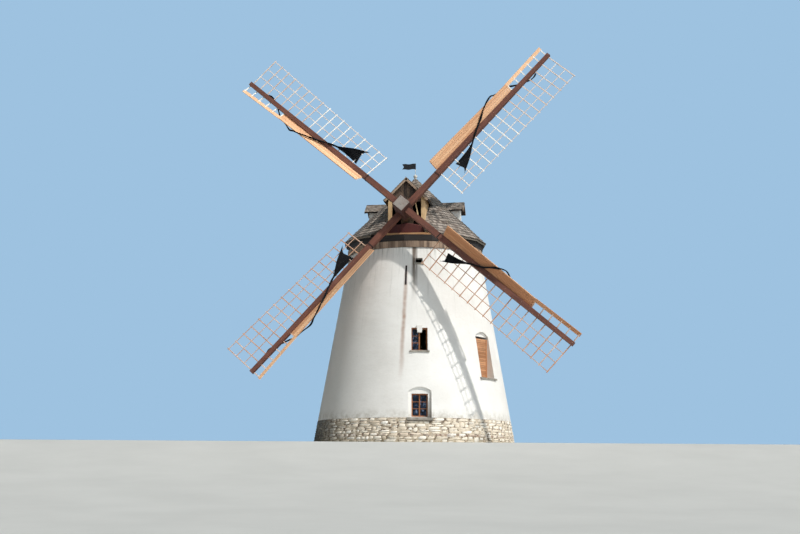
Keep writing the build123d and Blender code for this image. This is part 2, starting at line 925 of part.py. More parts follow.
def vane():
    sleeve = Pos(0, 0, vane_foot) * Cylinder(sleeve_radius, vane_height,
                                             align=(Align.CENTER, Align.CENTER, Align.MIN))
    foot, head = vane_foot, vane_foot + vane_height
    tip_head, tip_foot = head - vane_wave, foot + vane_wave
    crests = [(-vane_length * s, vane_wave * (1 + math.cos(4 * math.pi * s)) / 2) for s in vane_wave_places]
    upper = Spline((0, 0, head), *[(x, 0, head - drop) for x, drop in crests], (-vane_length, 0, tip_head))
    rises = [(x, 0, foot + vane_wave - drop) for x, drop in reversed(crests)]
    lower = Spline((-vane_length, 0, tip_foot), *rises, (0, 0, foot))
    notch_point = (-vane_length + vane_notch, 0, (foot + head) / 2)
    notch = Polyline((-vane_length, 0, tip_head), notch_point, (-vane_length, 0, tip_foot))
    root = Line((0, 0, foot), (0, 0, head))
    outline = make_face(Curve() + [upper, notch, lower, root])
    flag = extrude(outline, amount=vane_thickness, dir=(0, 1, 0))
    flag = Pos(0, -vane_thickness / 2, 0) * flag
    bore = Pos(0, 0, vane_foot) * Cylinder(rod_radius + seat, 4 * vane_height)
    return sleeve + flag - bore


def main():
    os.makedirs("parts", exist_ok=True)
    plinth_cuts = [turn(entrance_opening(), entrance_azimuth)]
    plinth_cuts += [turn(low_sill_stone(), azimuth) for azimuth in window_azimuths]
    plinths = tower_segments(plinth_points(), plinth_segments, plinth_joint_azimuth, plinth_cuts)
    for index, segment in enumerate(plinths):
        save(segment, f"plinth_{index + 1}")
    walls = tower_segments(wall_points(), wall_segments, wall_joint_azimuth, wall_cuts())
    for index, segment in enumerate(walls):
        save(segment, f"wall_{index + 1}")
    save(floor_disc(ground_floor_thickness, ground_floor_thickness), "ground_floor")
    save(Compound([floor_disc(top, upper_floor_thickness) for top in upper_floor_heights]), "upper_floors")
    save(curb_ring(), "curb_ring")
    save(window_frames(), "window_frames")
    save(window_panes(), "window_panes")
    save(sill_stones(), "sills_and_keystones")
    save(loading_shutter(), "loading_shutter")
    save(entrance_door(), "entrance_door")
    save(wall_anchor(), "wall_anchor")

    save(cap_ring(), "cap_ring")
    save(sheers(), "sheer_beams")
    save(breast_beam(), "breast_beam")
    save(tail_beam(), "tail_beam")
    shell = roof_shell()
    tall = 2 * apex_height
    save(shell & block(0, far, -far, 0, 0, tall), "roof_front_right")
    save(shell & block(-far, 0, -far, 0, 0, tall), "roof_front_left")
    save(shell & block(0, far, 0, far, 0, tall), "roof_rear_right")
    save(shell & block(-far, 0, 0, far, 0, tall), "roof_rear_left")
    save(eave_boards(), "eave_boards")
    save(verge_boards(), "verge_boards")
    save(front_sill(), "front_sill")
    save(front_wall(), "front_wall")
    save(front_panel(), "front_panel")
    save(hood_roof(), "hood_roof")
    save(hood_frame(), "hood_frame")
    save(hood_gable(), "hood_gable")
    save(dormer_walls(), "dormer_walls")
    save(dormer_roofs(), "dormer_roofs")
    save(finial(), "finial")

    save(windshaft(), "windshaft")
    save(poll_end(), "poll_end")
    save(sail_place(1) * stock(), "stock_front")
    save(sail_place(0) * stock(), "stock_rear")
    save(on_each_sail(lattice()), "sail_lattices")
    save(on_each_sail(leading_boards()), "leading_boards")
    save(on_each_sail(sailcloth()), "sailcloths")
    save(vane(), "vane")


main()
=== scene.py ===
import random
from math import cos, degrees, hypot, pi, radians, sin, sqrt

import bmesh
import bpy
from mathutils import Matrix, Vector


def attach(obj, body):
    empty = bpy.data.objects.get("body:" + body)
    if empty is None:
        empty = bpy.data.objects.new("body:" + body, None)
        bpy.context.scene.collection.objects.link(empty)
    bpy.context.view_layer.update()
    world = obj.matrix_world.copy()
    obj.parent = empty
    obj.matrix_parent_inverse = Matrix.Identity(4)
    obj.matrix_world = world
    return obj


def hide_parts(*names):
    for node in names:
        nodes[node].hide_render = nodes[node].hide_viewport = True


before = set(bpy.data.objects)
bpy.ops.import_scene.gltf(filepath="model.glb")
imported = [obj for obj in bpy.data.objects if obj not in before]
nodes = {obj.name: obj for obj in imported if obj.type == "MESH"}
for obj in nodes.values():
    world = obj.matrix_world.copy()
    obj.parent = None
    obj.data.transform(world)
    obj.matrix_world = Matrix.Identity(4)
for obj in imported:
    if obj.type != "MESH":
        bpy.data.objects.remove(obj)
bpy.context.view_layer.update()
chance = random.Random(7)

# Sizes in metres, as the solids have them
WALL_FOOT_RADIUS = 5.0
PLINTH_FOOT_RADIUS = 5.2
PLINTH_TOP = 1.2
WALL_TOP = 9.8
CURB_TOP = 10.13
CURB_RADIUS = 3.54
WINDOW_AZIMUTHS = (12.0, 132.0, 252.0)
ENTRANCE_AZIMUTH = 192.0
LOADING_AZIMUTH = 62.0
ROOF_SIDES = 16
EAVE_RADIUS = 3.74
EAVE_HEIGHT = 10.54
APEX_HEIGHT = 14.2
FRONT_CUT = 3.15
VERGE_THICKNESS = 0.05
HOOD_RIDGE = 13.5
HOOD_HALF_WIDTH = 1.15
HOOD_FRONT = 3.1
HOOD_BACK = 0.4
HOOD_HALF_ROOM = 0.95
DORMER_RIDGE = 12.8
DORMER_HALF_WIDTH = 0.62
DORMER_SLOPE = 0.8
DORMER_REACH = 2.62
DORMER_FACE = 2.42
DORMER_BACK = 1.0
DORMER_HALF_ROOM = 0.45
HUB = Vector((0.0, -4.15, 11.75))
TILT = radians(10.0)
REST_ANGLE = radians(49.1)
STOCK_SPACING = 0.42
STOCK_FRONT = 0.15
STOCK_ROOT = 0.7
SAIL_REACH = 11.15
HEEL_RADIUS = 2.66
TIP_RADIUS = 11.05
BAR_COUNT = 17
BOARD_END = 8.4
BOARD_ROOT_LEAD = 0.06
BOARD_ROOT_FORWARD = 0.02
POLL_HALF_WIDTH = 0.325
POLL_NOSE = 0.515

UP = Vector((0.0, 0.0, 1.0))
TO_FRONT = Vector((0.0, -1.0, 0.0))


def draw(low=0.0, high=1.0):
    return chance.uniform(low, high)


def show_object(name, data):
    thing = bpy.data.objects.new(name, data)
    bpy.context.scene.collection.objects.link(thing)
    return thing


# Camera, solved from the photograph: distance from the tower's axis, height, turn and tilt

CAMERA_TURN = 0.153
CAMERA_DISTANCE = 66.15
CAMERA_HEIGHT = -1.982
CAMERA_PITCH = 0.1702
CAMERA_YAW = -0.0120
CAMERA_ROLL = 0.0069
PHOTO_WIDTH = 800
FOCAL_PIXELS = 1265.8
SENSOR_WIDTH = 36.0


def place_camera():
    pitch, yaw, roll = CAMERA_PITCH, CAMERA_YAW, CAMERA_ROLL
    forward = Vector((sin(yaw) * cos(pitch), cos(yaw) * cos(pitch), sin(pitch)))
    level = Vector((cos(yaw), -sin(yaw), 0.0))
    right = cos(roll) * level + sin(roll) * level.cross(forward)
    axes = Matrix((right, right.cross(forward), -forward)).transposed()
    swing = Matrix.Rotation(CAMERA_TURN, 3, "Z")
    camera = show_object("camera", bpy.data.cameras.new("camera"))
    place = swing @ Vector((0.0, -CAMERA_DISTANCE, 0.0)) + UP * CAMERA_HEIGHT
    camera.matrix_world = Matrix.Translation(place) @ (swing @ axes).to_4x4()
    camera.data.sensor_width = SENSOR_WIDTH
    camera.data.lens = FOCAL_PIXELS / PHOTO_WIDTH * SENSOR_WIDTH
    camera.data.clip_end = 600.0
    bpy.context.scene.camera = camera


# Node helpers

def linear(red, green, blue):
    """A colour given as a picture stores it, from 0 to 255, in the values that a shader takes."""
    def channel(value):
        value /= 255.0
        return value / 12.92 if value <= 0.04045 else ((value + 0.055) / 1.055) ** 2.4
    return (channel(red), channel(green), channel(blue), 1.0)


class Field:
    """A value worked out by nodes. Numbers among them add, subtract and multiply."""

    def __init__(self, graph, socket):
        self.graph = graph
        self.socket = socket

    def __add__(self, other):
        return self.graph.math("ADD", self, other)

    def __sub__(self, other):
        return self.graph.math("SUBTRACT", self, other)

    def __rsub__(self, other):
        return self.graph.math("SUBTRACT", other, self)

    def __mul__(self, other):
        return self.graph.math("MULTIPLY", self, other)


class Graph:
    """A tree of nodes. Each method adds a node and gives back what it works out."""

    def __init__(self, tree):
        self.tree = tree

    def put(self, socket, value):
        if isinstance(value, Field):
            self.tree.links.new(value.socket, socket)
        else:
            socket.default_value = value

    def node(self, kind, inputs, **settings):
        made = self.tree.nodes.new("ShaderNode" + kind)
        for key, value in settings.items():
            setattr(made, key, value)
        for key, value in inputs.items():
            self.put(made.inputs[key], value)
        return made

    def field(self, kind, inputs, output=0, **settings):
        return Field(self, self.node(kind, inputs, **settings).outputs[output])

    def attribute(self, name, output="Fac"):
        return self.field("Attribute", {}, output, attribute_name=name)

    def parts(self, vector):
        return [Field(self, output) for output in self.node("SeparateXYZ", {0: vector}).outputs]

    def math(self, operation, *values):
        return self.field("Math", dict(enumerate(values)), operation=operation)

    def distance(self, first, second):
        return self.math("ABSOLUTE", first - second)

    def stretch(self, vector, scale):
        return self.field("Mapping", {"Vector": vector, "Scale": scale})

    def noise(self, vector, scale, detail=4.0, rough=0.6, warp=0.0):
        inputs = {"Vector": vector, "Scale": scale, "Detail": detail, "Roughness": rough, "Distortion": warp}
        return self.field("TexNoise", inputs, "Fac")

    def mask(self, value, low, high):
        """0 up to the low value and 1 from the high one."""
        inputs = {"Value": value, "From Min": low, "From Max": high}
        return self.field("MapRange", inputs, clamp=True, interpolation_type="SMOOTHSTEP")

    def fade(self, value, low, high):
        """1 up to the low value and 0 from the high one."""
        return 1.0 - self.mask(value, low, high)

    def rays(self, *kinds):
        """1 for rays of any of the kinds."""
        path = self.node("LightPath", {}).outputs
        share = Field(self, path[f"Is {kinds[0]} Ray"])
        for kind in kinds[1:]:
            share = self.math("MAXIMUM", share, Field(self, path[f"Is {kind} Ray"]))
        return share

    def ramp(self, value, *stops):
        made = self.node("ValToRGB", {0: value})
        band = made.color_ramp
        while len(band.elements) < len(stops):
            band.elements.new(0.5)
        for element, (position, colour) in zip(band.elements, stops):
            element.position = position
            element.color = linear(*colour)
        return Field(self, made.outputs["Color"])

    def mix(self, share, first, second, blend="MIX"):
        return self.field("Mix", {0: share, 6: first, 7: second}, 2, data_type="RGBA", blend_type=blend)

    def bump(self, height, distance, strength, under=None):
        inputs = {"Strength": strength, "Distance": distance, "Height": height}
        if under is not None:
            inputs["Normal"] = under
        return self.field("Bump", inputs)


class Shader(Graph):
    """A material on the principled surface."""

    def __init__(self, name):
        self.material = bpy.data.materials.new(name)
        self.material.use_nodes = True
        super().__init__(self.material.node_tree)
        self.place = self.field("TexCoord", {}, "Object")
        self.colour = None

    def set(self, name, value):
        self.put(self.tree.nodes["Principled BSDF"].inputs[name], value)

    def tint(self, share, other):
        """Lays a share of another colour over the colour so far."""
        self.colour = self.mix(share, self.colour, linear(*other))

    def finish(self, rough, normal=None, metal=0.0):
        self.set("Base Color", self.colour)
        self.set("Roughness", rough)
        self.set("Metallic", metal)
        if normal is not None:
            self.set("Normal", normal)
        return self.material


# Materials: colours as (red, green, blue) from 0 to 255

def timber(name, dark, light, worn, own_grain=True, wear=0.35, axis=(1.0, 12.0, 12.0), turn=None):
    """Timber. Pieces made here carry its grain and tone as attributes."""
    s = Shader(name)
    if own_grain:
        along = s.attribute("grain", "Vector")
        tone = s.attribute("tone")
    else:
        along = s.place
        if turn is not None:
            along = s.field("Mapping", {"Vector": along, "Rotation": turn})
        tone = s.noise(along, 0.7, 2.0)
    fibres = s.noise(s.stretch(along, axis), 3.0, 6.0, 0.65, 0.4)
    rings = s.noise(s.stretch(along, [0.35 * share for share in axis]), 2.2, 3.0, 0.5, 1.2)
    shade = tone * 0.5 + (fibres * 0.55 + rings * 0.45 - 0.25)
    s.colour = s.ramp(shade, (0.25, dark), (0.75, light))
    patches = s.mask(s.noise(s.place, 1.6, 5.0, 0.7), 0.52, 0.72)
    s.tint(patches * wear, worn)
    return s.finish(fibres * 0.2 + 0.65, s.bump(fibres, 0.004, 0.6))


def solid_timber(name, dark, light, worn, **more):
    """Timber for a solid, whose grain follows the object's own axes."""
    return timber(name, dark, light, worn, own_grain=False, **more)


def lime_render():
    s = Shader("lime_render")
    x, y, z = s.parts(s.place)
    azimuth = s.math("ARCTAN2", x, y * -1.0)
    broad = s.noise(s.place, 0.55, 4.0, 0.55)
    fine = s.noise(s.place, 9.0, 6.0, 0.65)
    s.colour = s.ramp(broad, (0.3, (231, 228, 222)), (0.7, (245, 243, 238)))
    s.tint(s.mask(fine, 0.5, 0.8) * 0.18, (198, 190, 175))

    # Rain streaks that start under the cap and thin out downwards
    streak = s.noise(s.field("CombineXYZ", {0: azimuth * 26.0, 1: z * 0.42}), 1.0, 5.0)
    rain = s.mask(streak, 0.52, 0.78) * s.mask(z, 3.5, 9.9)
    s.tint(rain * 0.3, (150, 151, 140))
    under_curb = s.mask(z, 9.0, 9.85) * s.mask(streak, 0.42, 0.7)
    s.tint(under_curb * 0.4, (104, 104, 94))

    # Rust below the iron anchor, wandering a little to the left
    wander = (s.noise(s.place, 0.8, 2.0) - 0.5) * 0.05
    centre = wander + 0.033 - (7.8 - z) * 0.006
    band = s.fade(s.distance(azimuth, centre), 0.003, 0.038)
    drop = s.mask(z, 2.2, 6.2) * s.fade(z, 8.3, 8.7)
    uneven = s.mask(s.noise(s.stretch(s.place, (0.3, 0.3, 0.9)), 1.0, 3.0), 0.36, 0.6)
    rust = band * drop * (uneven * 0.6 + 0.4)
    s.tint(rust * 0.85, (158, 116, 90))

    # Stain from the curb past the left of the vent
    near = s.fade(s.distance(azimuth, 0.145), 0.015, 0.055)
    stain = near * (s.mask(z, 6.7, 8.9) * s.mask(streak, 0.25, 0.55))
    s.tint(stain * 0.95, (104, 90, 78))

    # Splashed dirt over the plinth, and a patchy grey tint towards the left (-x) side: painted shade along
    # with moisture staining
    splash = s.fade(z, 1.2, 1.75) * s.mask(s.noise(s.place, 2.6, 5.0, 0.7), 0.35, 0.7)
    s.tint(splash * 0.6, (148, 136, 112))
    damp_and_shade = s.fade(x, -4.6, -1.2) * s.mask(broad, 0.35, 0.7)
    s.tint(damp_and_shade * 0.22, (158, 163, 156))

    trowel = s.noise(s.stretch(s.place, (1.0, 1.0, 1.6)), 2.4, 3.0, 0.5)
    return s.finish(0.88, s.bump(fine, 0.006, 0.7, s.bump(trowel, 0.02, 0.5)))


def rubble(name, joint):
    """The plinth's mortar or its stones, with a rusty row, moss and painted shade darkening the left (-x)
    side, and soil at the foot.
    """
    s = Shader(name)
    x, _, z = s.parts(s.place)
    grit = s.noise(s.place, 24.0, 6.0, 0.7)
    cloud = s.noise(s.place, 3.2)
    if joint:
        s.colour = s.ramp(cloud, (0.3, (176, 158, 134)), (0.7, (222, 208, 186)))
        hollow = s.mask(s.noise(s.place, 7.0, 3.0), 0.5, 0.58)
        s.tint(hollow * 0.85, (82, 64, 48))
    else:
        shade = cloud * 0.3 + s.attribute("tone") * 0.7
        s.colour = s.ramp(shade, (0.08, (166, 144, 122)), (0.28, (226, 211, 190)),
                          (0.6, (249, 239, 222)), (0.9, (253, 249, 241)))
        s.tint(s.mask(grit, 0.53, 0.74) * 0.6, (128, 102, 82))
    row = s.fade(s.distance(z, 0.37), 0.015, 0.06) * s.mask(cloud, 0.4, 0.6)
    s.tint(row * 0.7, (122, 82, 64))
    # Darker towards the left (-x) side: moss along with painted shade
    moss = s.fade(x, -4.7, -2.2) * s.mask(cloud, 0.1, 0.5)
    s.tint(moss * 0.9, (56, 53, 44))
    soil = s.fade(z, 0.05, 0.4) * s.mask(cloud, 0.25, 0.65)
    s.tint(soil * 0.45, (124, 114, 82))
    return s.finish(0.9, s.bump(grit, 0.008, 0.8, s.bump(cloud, 0.03, 0.5)))


def dressings():
    """Grey sill stones, with painted shade along the low sills' foot, and pale lime at the height of the
    keystones.
    """
    s = Shader("dressing_stone")
    _, _, z = s.parts(s.place)
    cloud = s.noise(s.place, 4.0)
    grit = s.noise(s.place, 30.0, 5.0, 0.7)
    s.colour = s.ramp(cloud, (0.3, (128, 122, 112)), (0.7, (172, 166, 155)))
    s.tint(s.mask(grit, 0.5, 0.75) * 0.4, (104, 98, 88))
    keystone = s.mask(z, 5.0, 5.2) * s.fade(z, 6.0, 6.4)
    s.tint(keystone, (236, 233, 226))
    # Darker along the low sills' foot: painted shade under the sills
    s.tint(s.fade(z, 1.05, 1.10) * 0.8, (74, 66, 56))
    return s.finish(0.85, s.bump(grit, 0.006, 0.7))


def eave_wood():
    """Dark underneath and along the skirt, as painted shade, and weathered grey on the fascia."""
    s = Shader("dark_trim")
    x, y, z = s.parts(s.place)
    reach = s.math("SQRT", x * x + y * y)
    fibres = s.noise(s.stretch(s.place, (2.0, 2.0, 30.0)), 2.0, 5.0)
    # The dark colour everywhere but the fascia is painted shade under the eave
    dark = s.ramp(fibres, (0.3, (24, 19, 17)), (0.7, (50, 41, 35)))
    grey = s.ramp(fibres, (0.3, (98, 90, 80)), (0.7, (142, 132, 118)))
    outer = s.mask(reach, 3.62, 3.64) * s.mask(z, 10.434, 10.442)
    s.colour = s.mix(outer, dark, grey)
    return s.finish(0.85, s.bump(fibres, 0.004, 0.6))


def shingle_wood():
    s = Shader("shingle_wood")
    along = s.attribute("grain", "Vector")
    _, _, height = s.parts(along)
    fibres = s.noise(s.stretch(along, (1.0, 14.0, 0.0)), 5.0, 5.0, 0.65, 0.3)
    cloud = s.noise(s.place, 0.9)
    shade = s.attribute("tone") * 0.5 + (fibres * 0.35 + 0.04)
    s.colour = s.ramp(shade, (0.12, (94, 86, 78)), (0.45, (142, 131, 121)), (0.8, (184, 172, 160)))
    # Darker just under the butts of the course above: painted shade
    s.tint(s.fade(height, -1.0, -0.70) * 0.75, (52, 46, 41))
    brown = s.mask(s.noise(s.place, 2.4, 3.0), 0.5, 0.75)
    s.tint(brown * 0.4, (122, 92, 68))
    moss = s.mask(cloud, 0.5, 0.72) * s.mask(s.noise(s.place, 11.0, 5.0, 0.7), 0.4, 0.65)
    s.tint(moss * 0.55, (82, 86, 52))
    return s.finish(0.85, s.bump(fibres, 0.006, 0.8))


def painted(name, colour, chips, rough, metal=0.0, amount=0.6, scale=5.0):
    s = Shader(name)
    cloud = s.noise(s.place, scale, 6.0, 0.7)
    fine = s.noise(s.place, scale * 9.0)
    s.colour = s.mix(fine * 0.3, linear(*colour), linear(*chips), "MULTIPLY")
    s.tint(s.mask(cloud, 0.52, 0.68) * amount, chips)
    return s.finish(cloud * 0.25 + rough, s.bump(fine, 0.003, 0.5), metal)


def glass():
    s = Shader("window_glass")
    cloud = s.noise(s.stretch(s.place, (3.0, 3.0, 2.0)), 2.2, 3.0, 0.5, 0.6)
    # The pale blue-white end of the ramp gives painted reflections on the panes
    s.colour = s.ramp(cloud, (0.44, (12, 14, 20)), (0.57, (38, 47, 66)), (0.70, (118, 136, 162)))
    grime = s.noise(s.place, 14.0, 5.0)
    s.set("Specular IOR Level", 0.25)
    return s.finish(grime * 0.15 + 0.06, s.bump(cloud, 0.004, 0.4))


def cloth():
    s = Shader("black_sailcloth")
    weave = s.noise(s.stretch(s.attribute("grain", "Vector"), (60.0, 60.0, 60.0)), 3.0, 2.0)
    s.colour = s.ramp(s.noise(s.place, 3.5), (0.3, (8, 8, 9)), (0.75, (29, 28, 30)))
    s.set("Sheen Weight", 0.08)
    s.set("Sheen Roughness", 0.4)
    s.set("Specular IOR Level", 0.15)
    return s.finish(0.7, s.bump(weave, 0.002, 0.6))


def floor_paint():
    s = Shader("pale_floor")
    s.colour = s.ramp(s.noise(s.place, 0.3, 3.0), (0.3, (200, 201, 197)), (0.7, (207, 208, 204)))
    s.set("Emission Color", (0.7, 0.75, 0.8, 1.0))
    s.set("Emission Strength", s.rays("Glossy", "Transmission") * 0.2)
    return s.finish(0.95)


# Mesh helpers

GRAIN_SHIFT = 40.0


def tube_faces(count, rings=2):
    """Faces of a closed tube through rings of points, with both ends."""
    last = (rings - 1) * count
    faces = [list(range(count - 1, -1, -1)), [last + corner for corner in range(count)]]
    for start in range(0, last, count):
        for corner in range(count):
            after = (corner + 1) % count
            faces.append([start + corner, start + after, start + count + after, start + count + corner])
    return faces


def grid_faces(rows, columns):
    """Faces between rows of points, each with one point more than it has columns."""
    faces = []
    for row in range(rows):
        for column in range(columns):
            corner = row * (columns + 1) + column
            faces.append([corner, corner + 1, corner + columns + 2, corner + columns + 1])
    return faces


def section(centre, side, out, width, thickness, edge):
    """A rectangle with its corners cut, round a point of a beam."""
    half_w, half_t = width / 2, thickness / 2
    quarter = ((half_w - edge, half_t), (half_w, half_t - edge))
    right = quarter + tuple((a, -b) for a, b in reversed(quarter))
    corners = right + tuple((-a, b) for a, b in reversed(right))
    return [centre + side * a + out * b for a, b in corners]


class Shape:
    """Closed pieces gathered into one mesh, each with its own tone and grain."""

    def __init__(self):
        self.points = []
        self.faces = []
        self.tones = []
        self.grain = []

    def add(self, points, faces, tone, grain):
        first = len(self.points)
        self.points += points
        self.faces += [[first + index for index in face] for face in faces]
        self.tones += [tone] * len(points)
        self.grain += grain

    def loft(self, rings, tone):
        points, grain = [], []
        run = 0.0
        seed = draw(0.0, GRAIN_SHIFT)
        before = None
        for ring in rings:
            centre = sum(ring, Vector((0.0, 0.0, 0.0))) / len(ring)
            if before is not None:
                run += (centre - before).length
            before = centre
            side = (ring[1] - ring[0]).normalized()
            for point in ring:
                away = point - centre
                across = away.dot(side)
                grain.append((run, across + seed, (away - side * across).length + seed))
            points += ring
        self.add(points, tube_faces(len(rings[0]), len(rings)), tone, grain)

    def beam(self, start, end, width, thickness, face, tone=0.5, edge=0.004):
        along = (end - start).normalized()
        out = (face - along * face.dot(along)).normalized()
        side = out.cross(along)
        self.loft([section(point, side, out, width, thickness, edge) for point in (start, end)], tone)

    def panel(self, outline, normal, thickness, tone):
        """A flat board through an outline, half its thickness on either side."""
        seed = draw(0.0, GRAIN_SHIFT)
        count = len(outline)
        longest = max(range(count), key=lambda i: (outline[i] - outline[i - 1]).length)
        along = (outline[longest] - outline[longest - 1]).normalized()
        side = normal.cross(along)
        half = normal * (thickness / 2)
        points = [point - half for point in outline] + [point + half for point in outline]
        grain = [(point.dot(along), point.dot(side) + seed, seed) for point in points]
        self.add(points, tube_faces(count), tone, grain)


def new_mesh(name, points, faces):
    mesh = bpy.data.meshes.new(name)
    mesh.from_pydata([tuple(point) for point in points], [], faces)
    return mesh


def build(fill, material, body, smooth=False):
    """The piece that a function fills, under the function's name."""
    shape = Shape()
    fill(shape)
    mesh = new_mesh(fill.__name__, shape.points, shape.faces)
    mesh.attributes.new("tone", "FLOAT", "POINT").data.foreach_set("value", shape.tones)
    set_grain(mesh, shape.grain)
    mesh.validate()
    tidy_normals(mesh)
    if smooth:
        mesh.shade_smooth()
    else:
        mesh.shade_flat()
    piece = show(fill.__name__, mesh, material)
    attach(piece, body)
    return piece


def set_grain(mesh, grain):
    flat = [value for vector in grain for value in vector]
    mesh.attributes.new("grain", "FLOAT_VECTOR", "POINT").data.foreach_set("vector", flat)


def tidy_normals(mesh):
    work = bmesh.new()
    work.from_mesh(mesh)
    bmesh.ops.recalc_face_normals(work, faces=work.faces)
    work.to_mesh(mesh)
    work.free()


def show(name, mesh, material):
    mesh.materials.append(material)
    return show_object(name, mesh)


def clip(outline, test):
    """The part of a convex outline where test, a linear function of a point, is positive."""
    kept = []
    for index, point in enumerate(outline):
        before = outline[index - 1]
        a, b = test(before), test(point)
        if (a > 0) != (b > 0):
            share = a / (a - b)
            kept.append(tuple(p + (q - p) * share for p, q in zip(before, point)))
        if b > 0:
            kept.append(point)
    return kept if len(kept) >= 3 else []


def upward(normal):
    return -normal if normal.z < 0 else normal


# Places round the tower: an azimuth is in degrees from the front, towards +X

def around(azimuth, radius, z):
    angle = radians(azimuth)
    return Vector((radius * sin(angle), -radius * cos(angle), z))


def facing(azimuth):
    return around(azimuth, 1.0, 0.0)


def beside(azimuth, across, distance, z):
    """A place beside the line that leaves the tower's axis at an azimuth."""
    return facing(azimuth) * distance + facing(azimuth + 90.0) * across + UP * z


def board_on(shape, azimuth, face, thickness, sides, ends, tone):
    """A board on an upright face, which stands at a distance from the axis."""
    (left, right), (foot, head) = sides, ends
    corners = ((left, foot), (right, foot), (right, head), (left, head))
    outline = [beside(azimuth, across, face + thickness / 2, z) for across, z in corners]
    shape.panel(outline, facing(azimuth), thickness, tone)


# Plinth of rubble stones: heights of the bed joints, and angles in degrees

COURSES = (0.0, 0.155, 0.30, 0.455, 0.60, 0.75, 0.895, 1.035, 1.196)
SILL_COURSE = 7
JOINT = 0.009
DOORWAY_HALF_ANGLE = 6.2
SILL_HALF_ANGLE = 7.5
STONE_ANGLES = (2.2, 8.2)
LEAST_STONE_ANGLE = 1.8
TALL_STONE_ANGLE = 4.0
TALL_SHARE = 0.15
SPLIT_SHARE = 0.35
STONE_STEPS = 3
STONE_DEPTH = 0.03


def plinth_radius(z):
    return PLINTH_FOOT_RADIUS - (PLINTH_FOOT_RADIUS - WALL_FOOT_RADIUS) * z / PLINTH_TOP


def border(steps):
    """The outer points of a square grid, in order."""
    width = steps + 1
    line = list(range(steps))
    line += [steps + row * width for row in range(steps)]
    line += [steps * width + column for column in range(steps, 0, -1)]
    line += [row * width for row in range(steps, 0, -1)]
    return line


def stone(shape, start, end, lows, highs, proud, tone):
    """A stone whose face bulges and whose corners are rounded."""
    points = []
    squeeze = draw(0.0, 0.09)
    for row in range(STONE_STEPS + 1):
        v = row / STONE_STEPS
        for column in range(STONE_STEPS + 1):
            u = column / STONE_STEPS
            rim = max(abs(2 * u - 1), abs(2 * v - 1)) ** 4
            pull = 1.0 - squeeze * abs(2 * u - 1) * abs(2 * v - 1)
            low = lows[0] * (1 - u) + lows[1] * u
            high = highs[0] * (1 - u) + highs[1] * u
            z = (low + high) / 2 + (high - low) * (v - 0.5) * pull
            azimuth = (start + end) / 2 + (end - start) * (u - 0.5) * pull
            radius = plinth_radius(z) + proud * (1.0 - rim) - 0.006 * rim + draw(-0.004, 0.004)
            points.append(around(azimuth, min(radius, PLINTH_FOOT_RADIUS - 0.001), z))
    rim_points = border(STONE_STEPS)
    faces = grid_faces(STONE_STEPS, STONE_STEPS)
    first = len(points)
    for order, index in enumerate(rim_points):
        after = (order + 1) % len(rim_points)
        faces.append([rim_points[after], index, first + order, first + after])
        share = 1.0 - STONE_DEPTH / hypot(points[index].x, points[index].y)
        points.append(Vector((points[index].x * share, points[index].y * share, points[index].z)))
    faces.append([first + order for order in range(len(rim_points))])
    shape.add(points, faces, tone, [(0.0, 0.0, 0.0)] * len(points))


def course_line(line, azimuth):
    """Height of a bed joint, level only at the ground, under the sills and at the top."""
    if line in (0, SILL_COURSE, len(COURSES) - 1):
        return COURSES[line]
    return COURSES[line] + 0.03 * sin(radians(azimuth * (11 + line % 5)) + 2.1 * line)


def open_spans(taken):
    """What is left of a full turn, from 0 to 360 degrees, beside the spans that are taken."""
    spans = []
    start = 0.0
    for low, high in sorted(taken):
        if low > start:
            spans.append((start, low))
        start = max(start, high)
    if start < 360.0:
        spans.append((start, 360.0))
    return spans


def lay_course(shape, course, azimuth, end):
    """Stones along an open span of a course. Gives back the spans of those two courses tall."""
    tall = []
    gap = degrees(JOINT / 2 / PLINTH_FOOT_RADIUS)
    while azimuth < end - 0.3:
        width = draw(*STONE_ANGLES)
        if end - azimuth - width < LEAST_STONE_ANGLE:
            width = end - azimuth
        rows = 1
        if course < SILL_COURSE - 1 and width < TALL_STONE_ANGLE and draw() < TALL_SHARE:
            rows = 2
            tall.append((azimuth, azimuth + width))
        sides = (azimuth + gap, azimuth + width - gap)
        lows = [course_line(course, side) + JOINT / 2 for side in sides]
        highs = [course_line(course + rows, side) - JOINT / 2 for side in sides]
        layers = [(lows, highs)]
        if rows == 1 and draw() < SPLIT_SHARE:
            share = draw(0.4, 0.6)
            bed = [low + (high - low) * share for low, high in zip(lows, highs)]
            layers = [(lows, [z - JOINT / 2 for z in bed]), ([z + JOINT / 2 for z in bed], highs)]
        for foot, head in layers:
            stone(shape, *sides, foot, head, draw(0.004, 0.03), draw(0.15, 1.0))
        azimuth += width
    return tall


def plinth_stones(shape):
    doorway = (ENTRANCE_AZIMUTH - DOORWAY_HALF_ANGLE, ENTRANCE_AZIMUTH + DOORWAY_HALF_ANGLE)
    sills = [(azimuth - SILL_HALF_ANGLE, azimuth + SILL_HALF_ANGLE) for azimuth in WINDOW_AZIMUTHS]
    tall = []
    for course in range(len(COURSES) - 1):
        taken = tall + [doorway]
        if course == SILL_COURSE:
            taken += sills
        tall = []
        for span in open_spans(taken):
            tall += lay_course(shape, course, *span)


# Windows, as foot, head and distance of the frame's face from the axis: bars in front of the panes

LOW_WINDOW = (1.25, 2.37, 4.498)
MIDDLE_WINDOW = (4.5, 5.64, 4.066)
WINDOW_WIDTH = 0.8
FRAME_BAR = 0.06
GLAZING_BARS = 2
GLAZING_SETBACK = 0.02


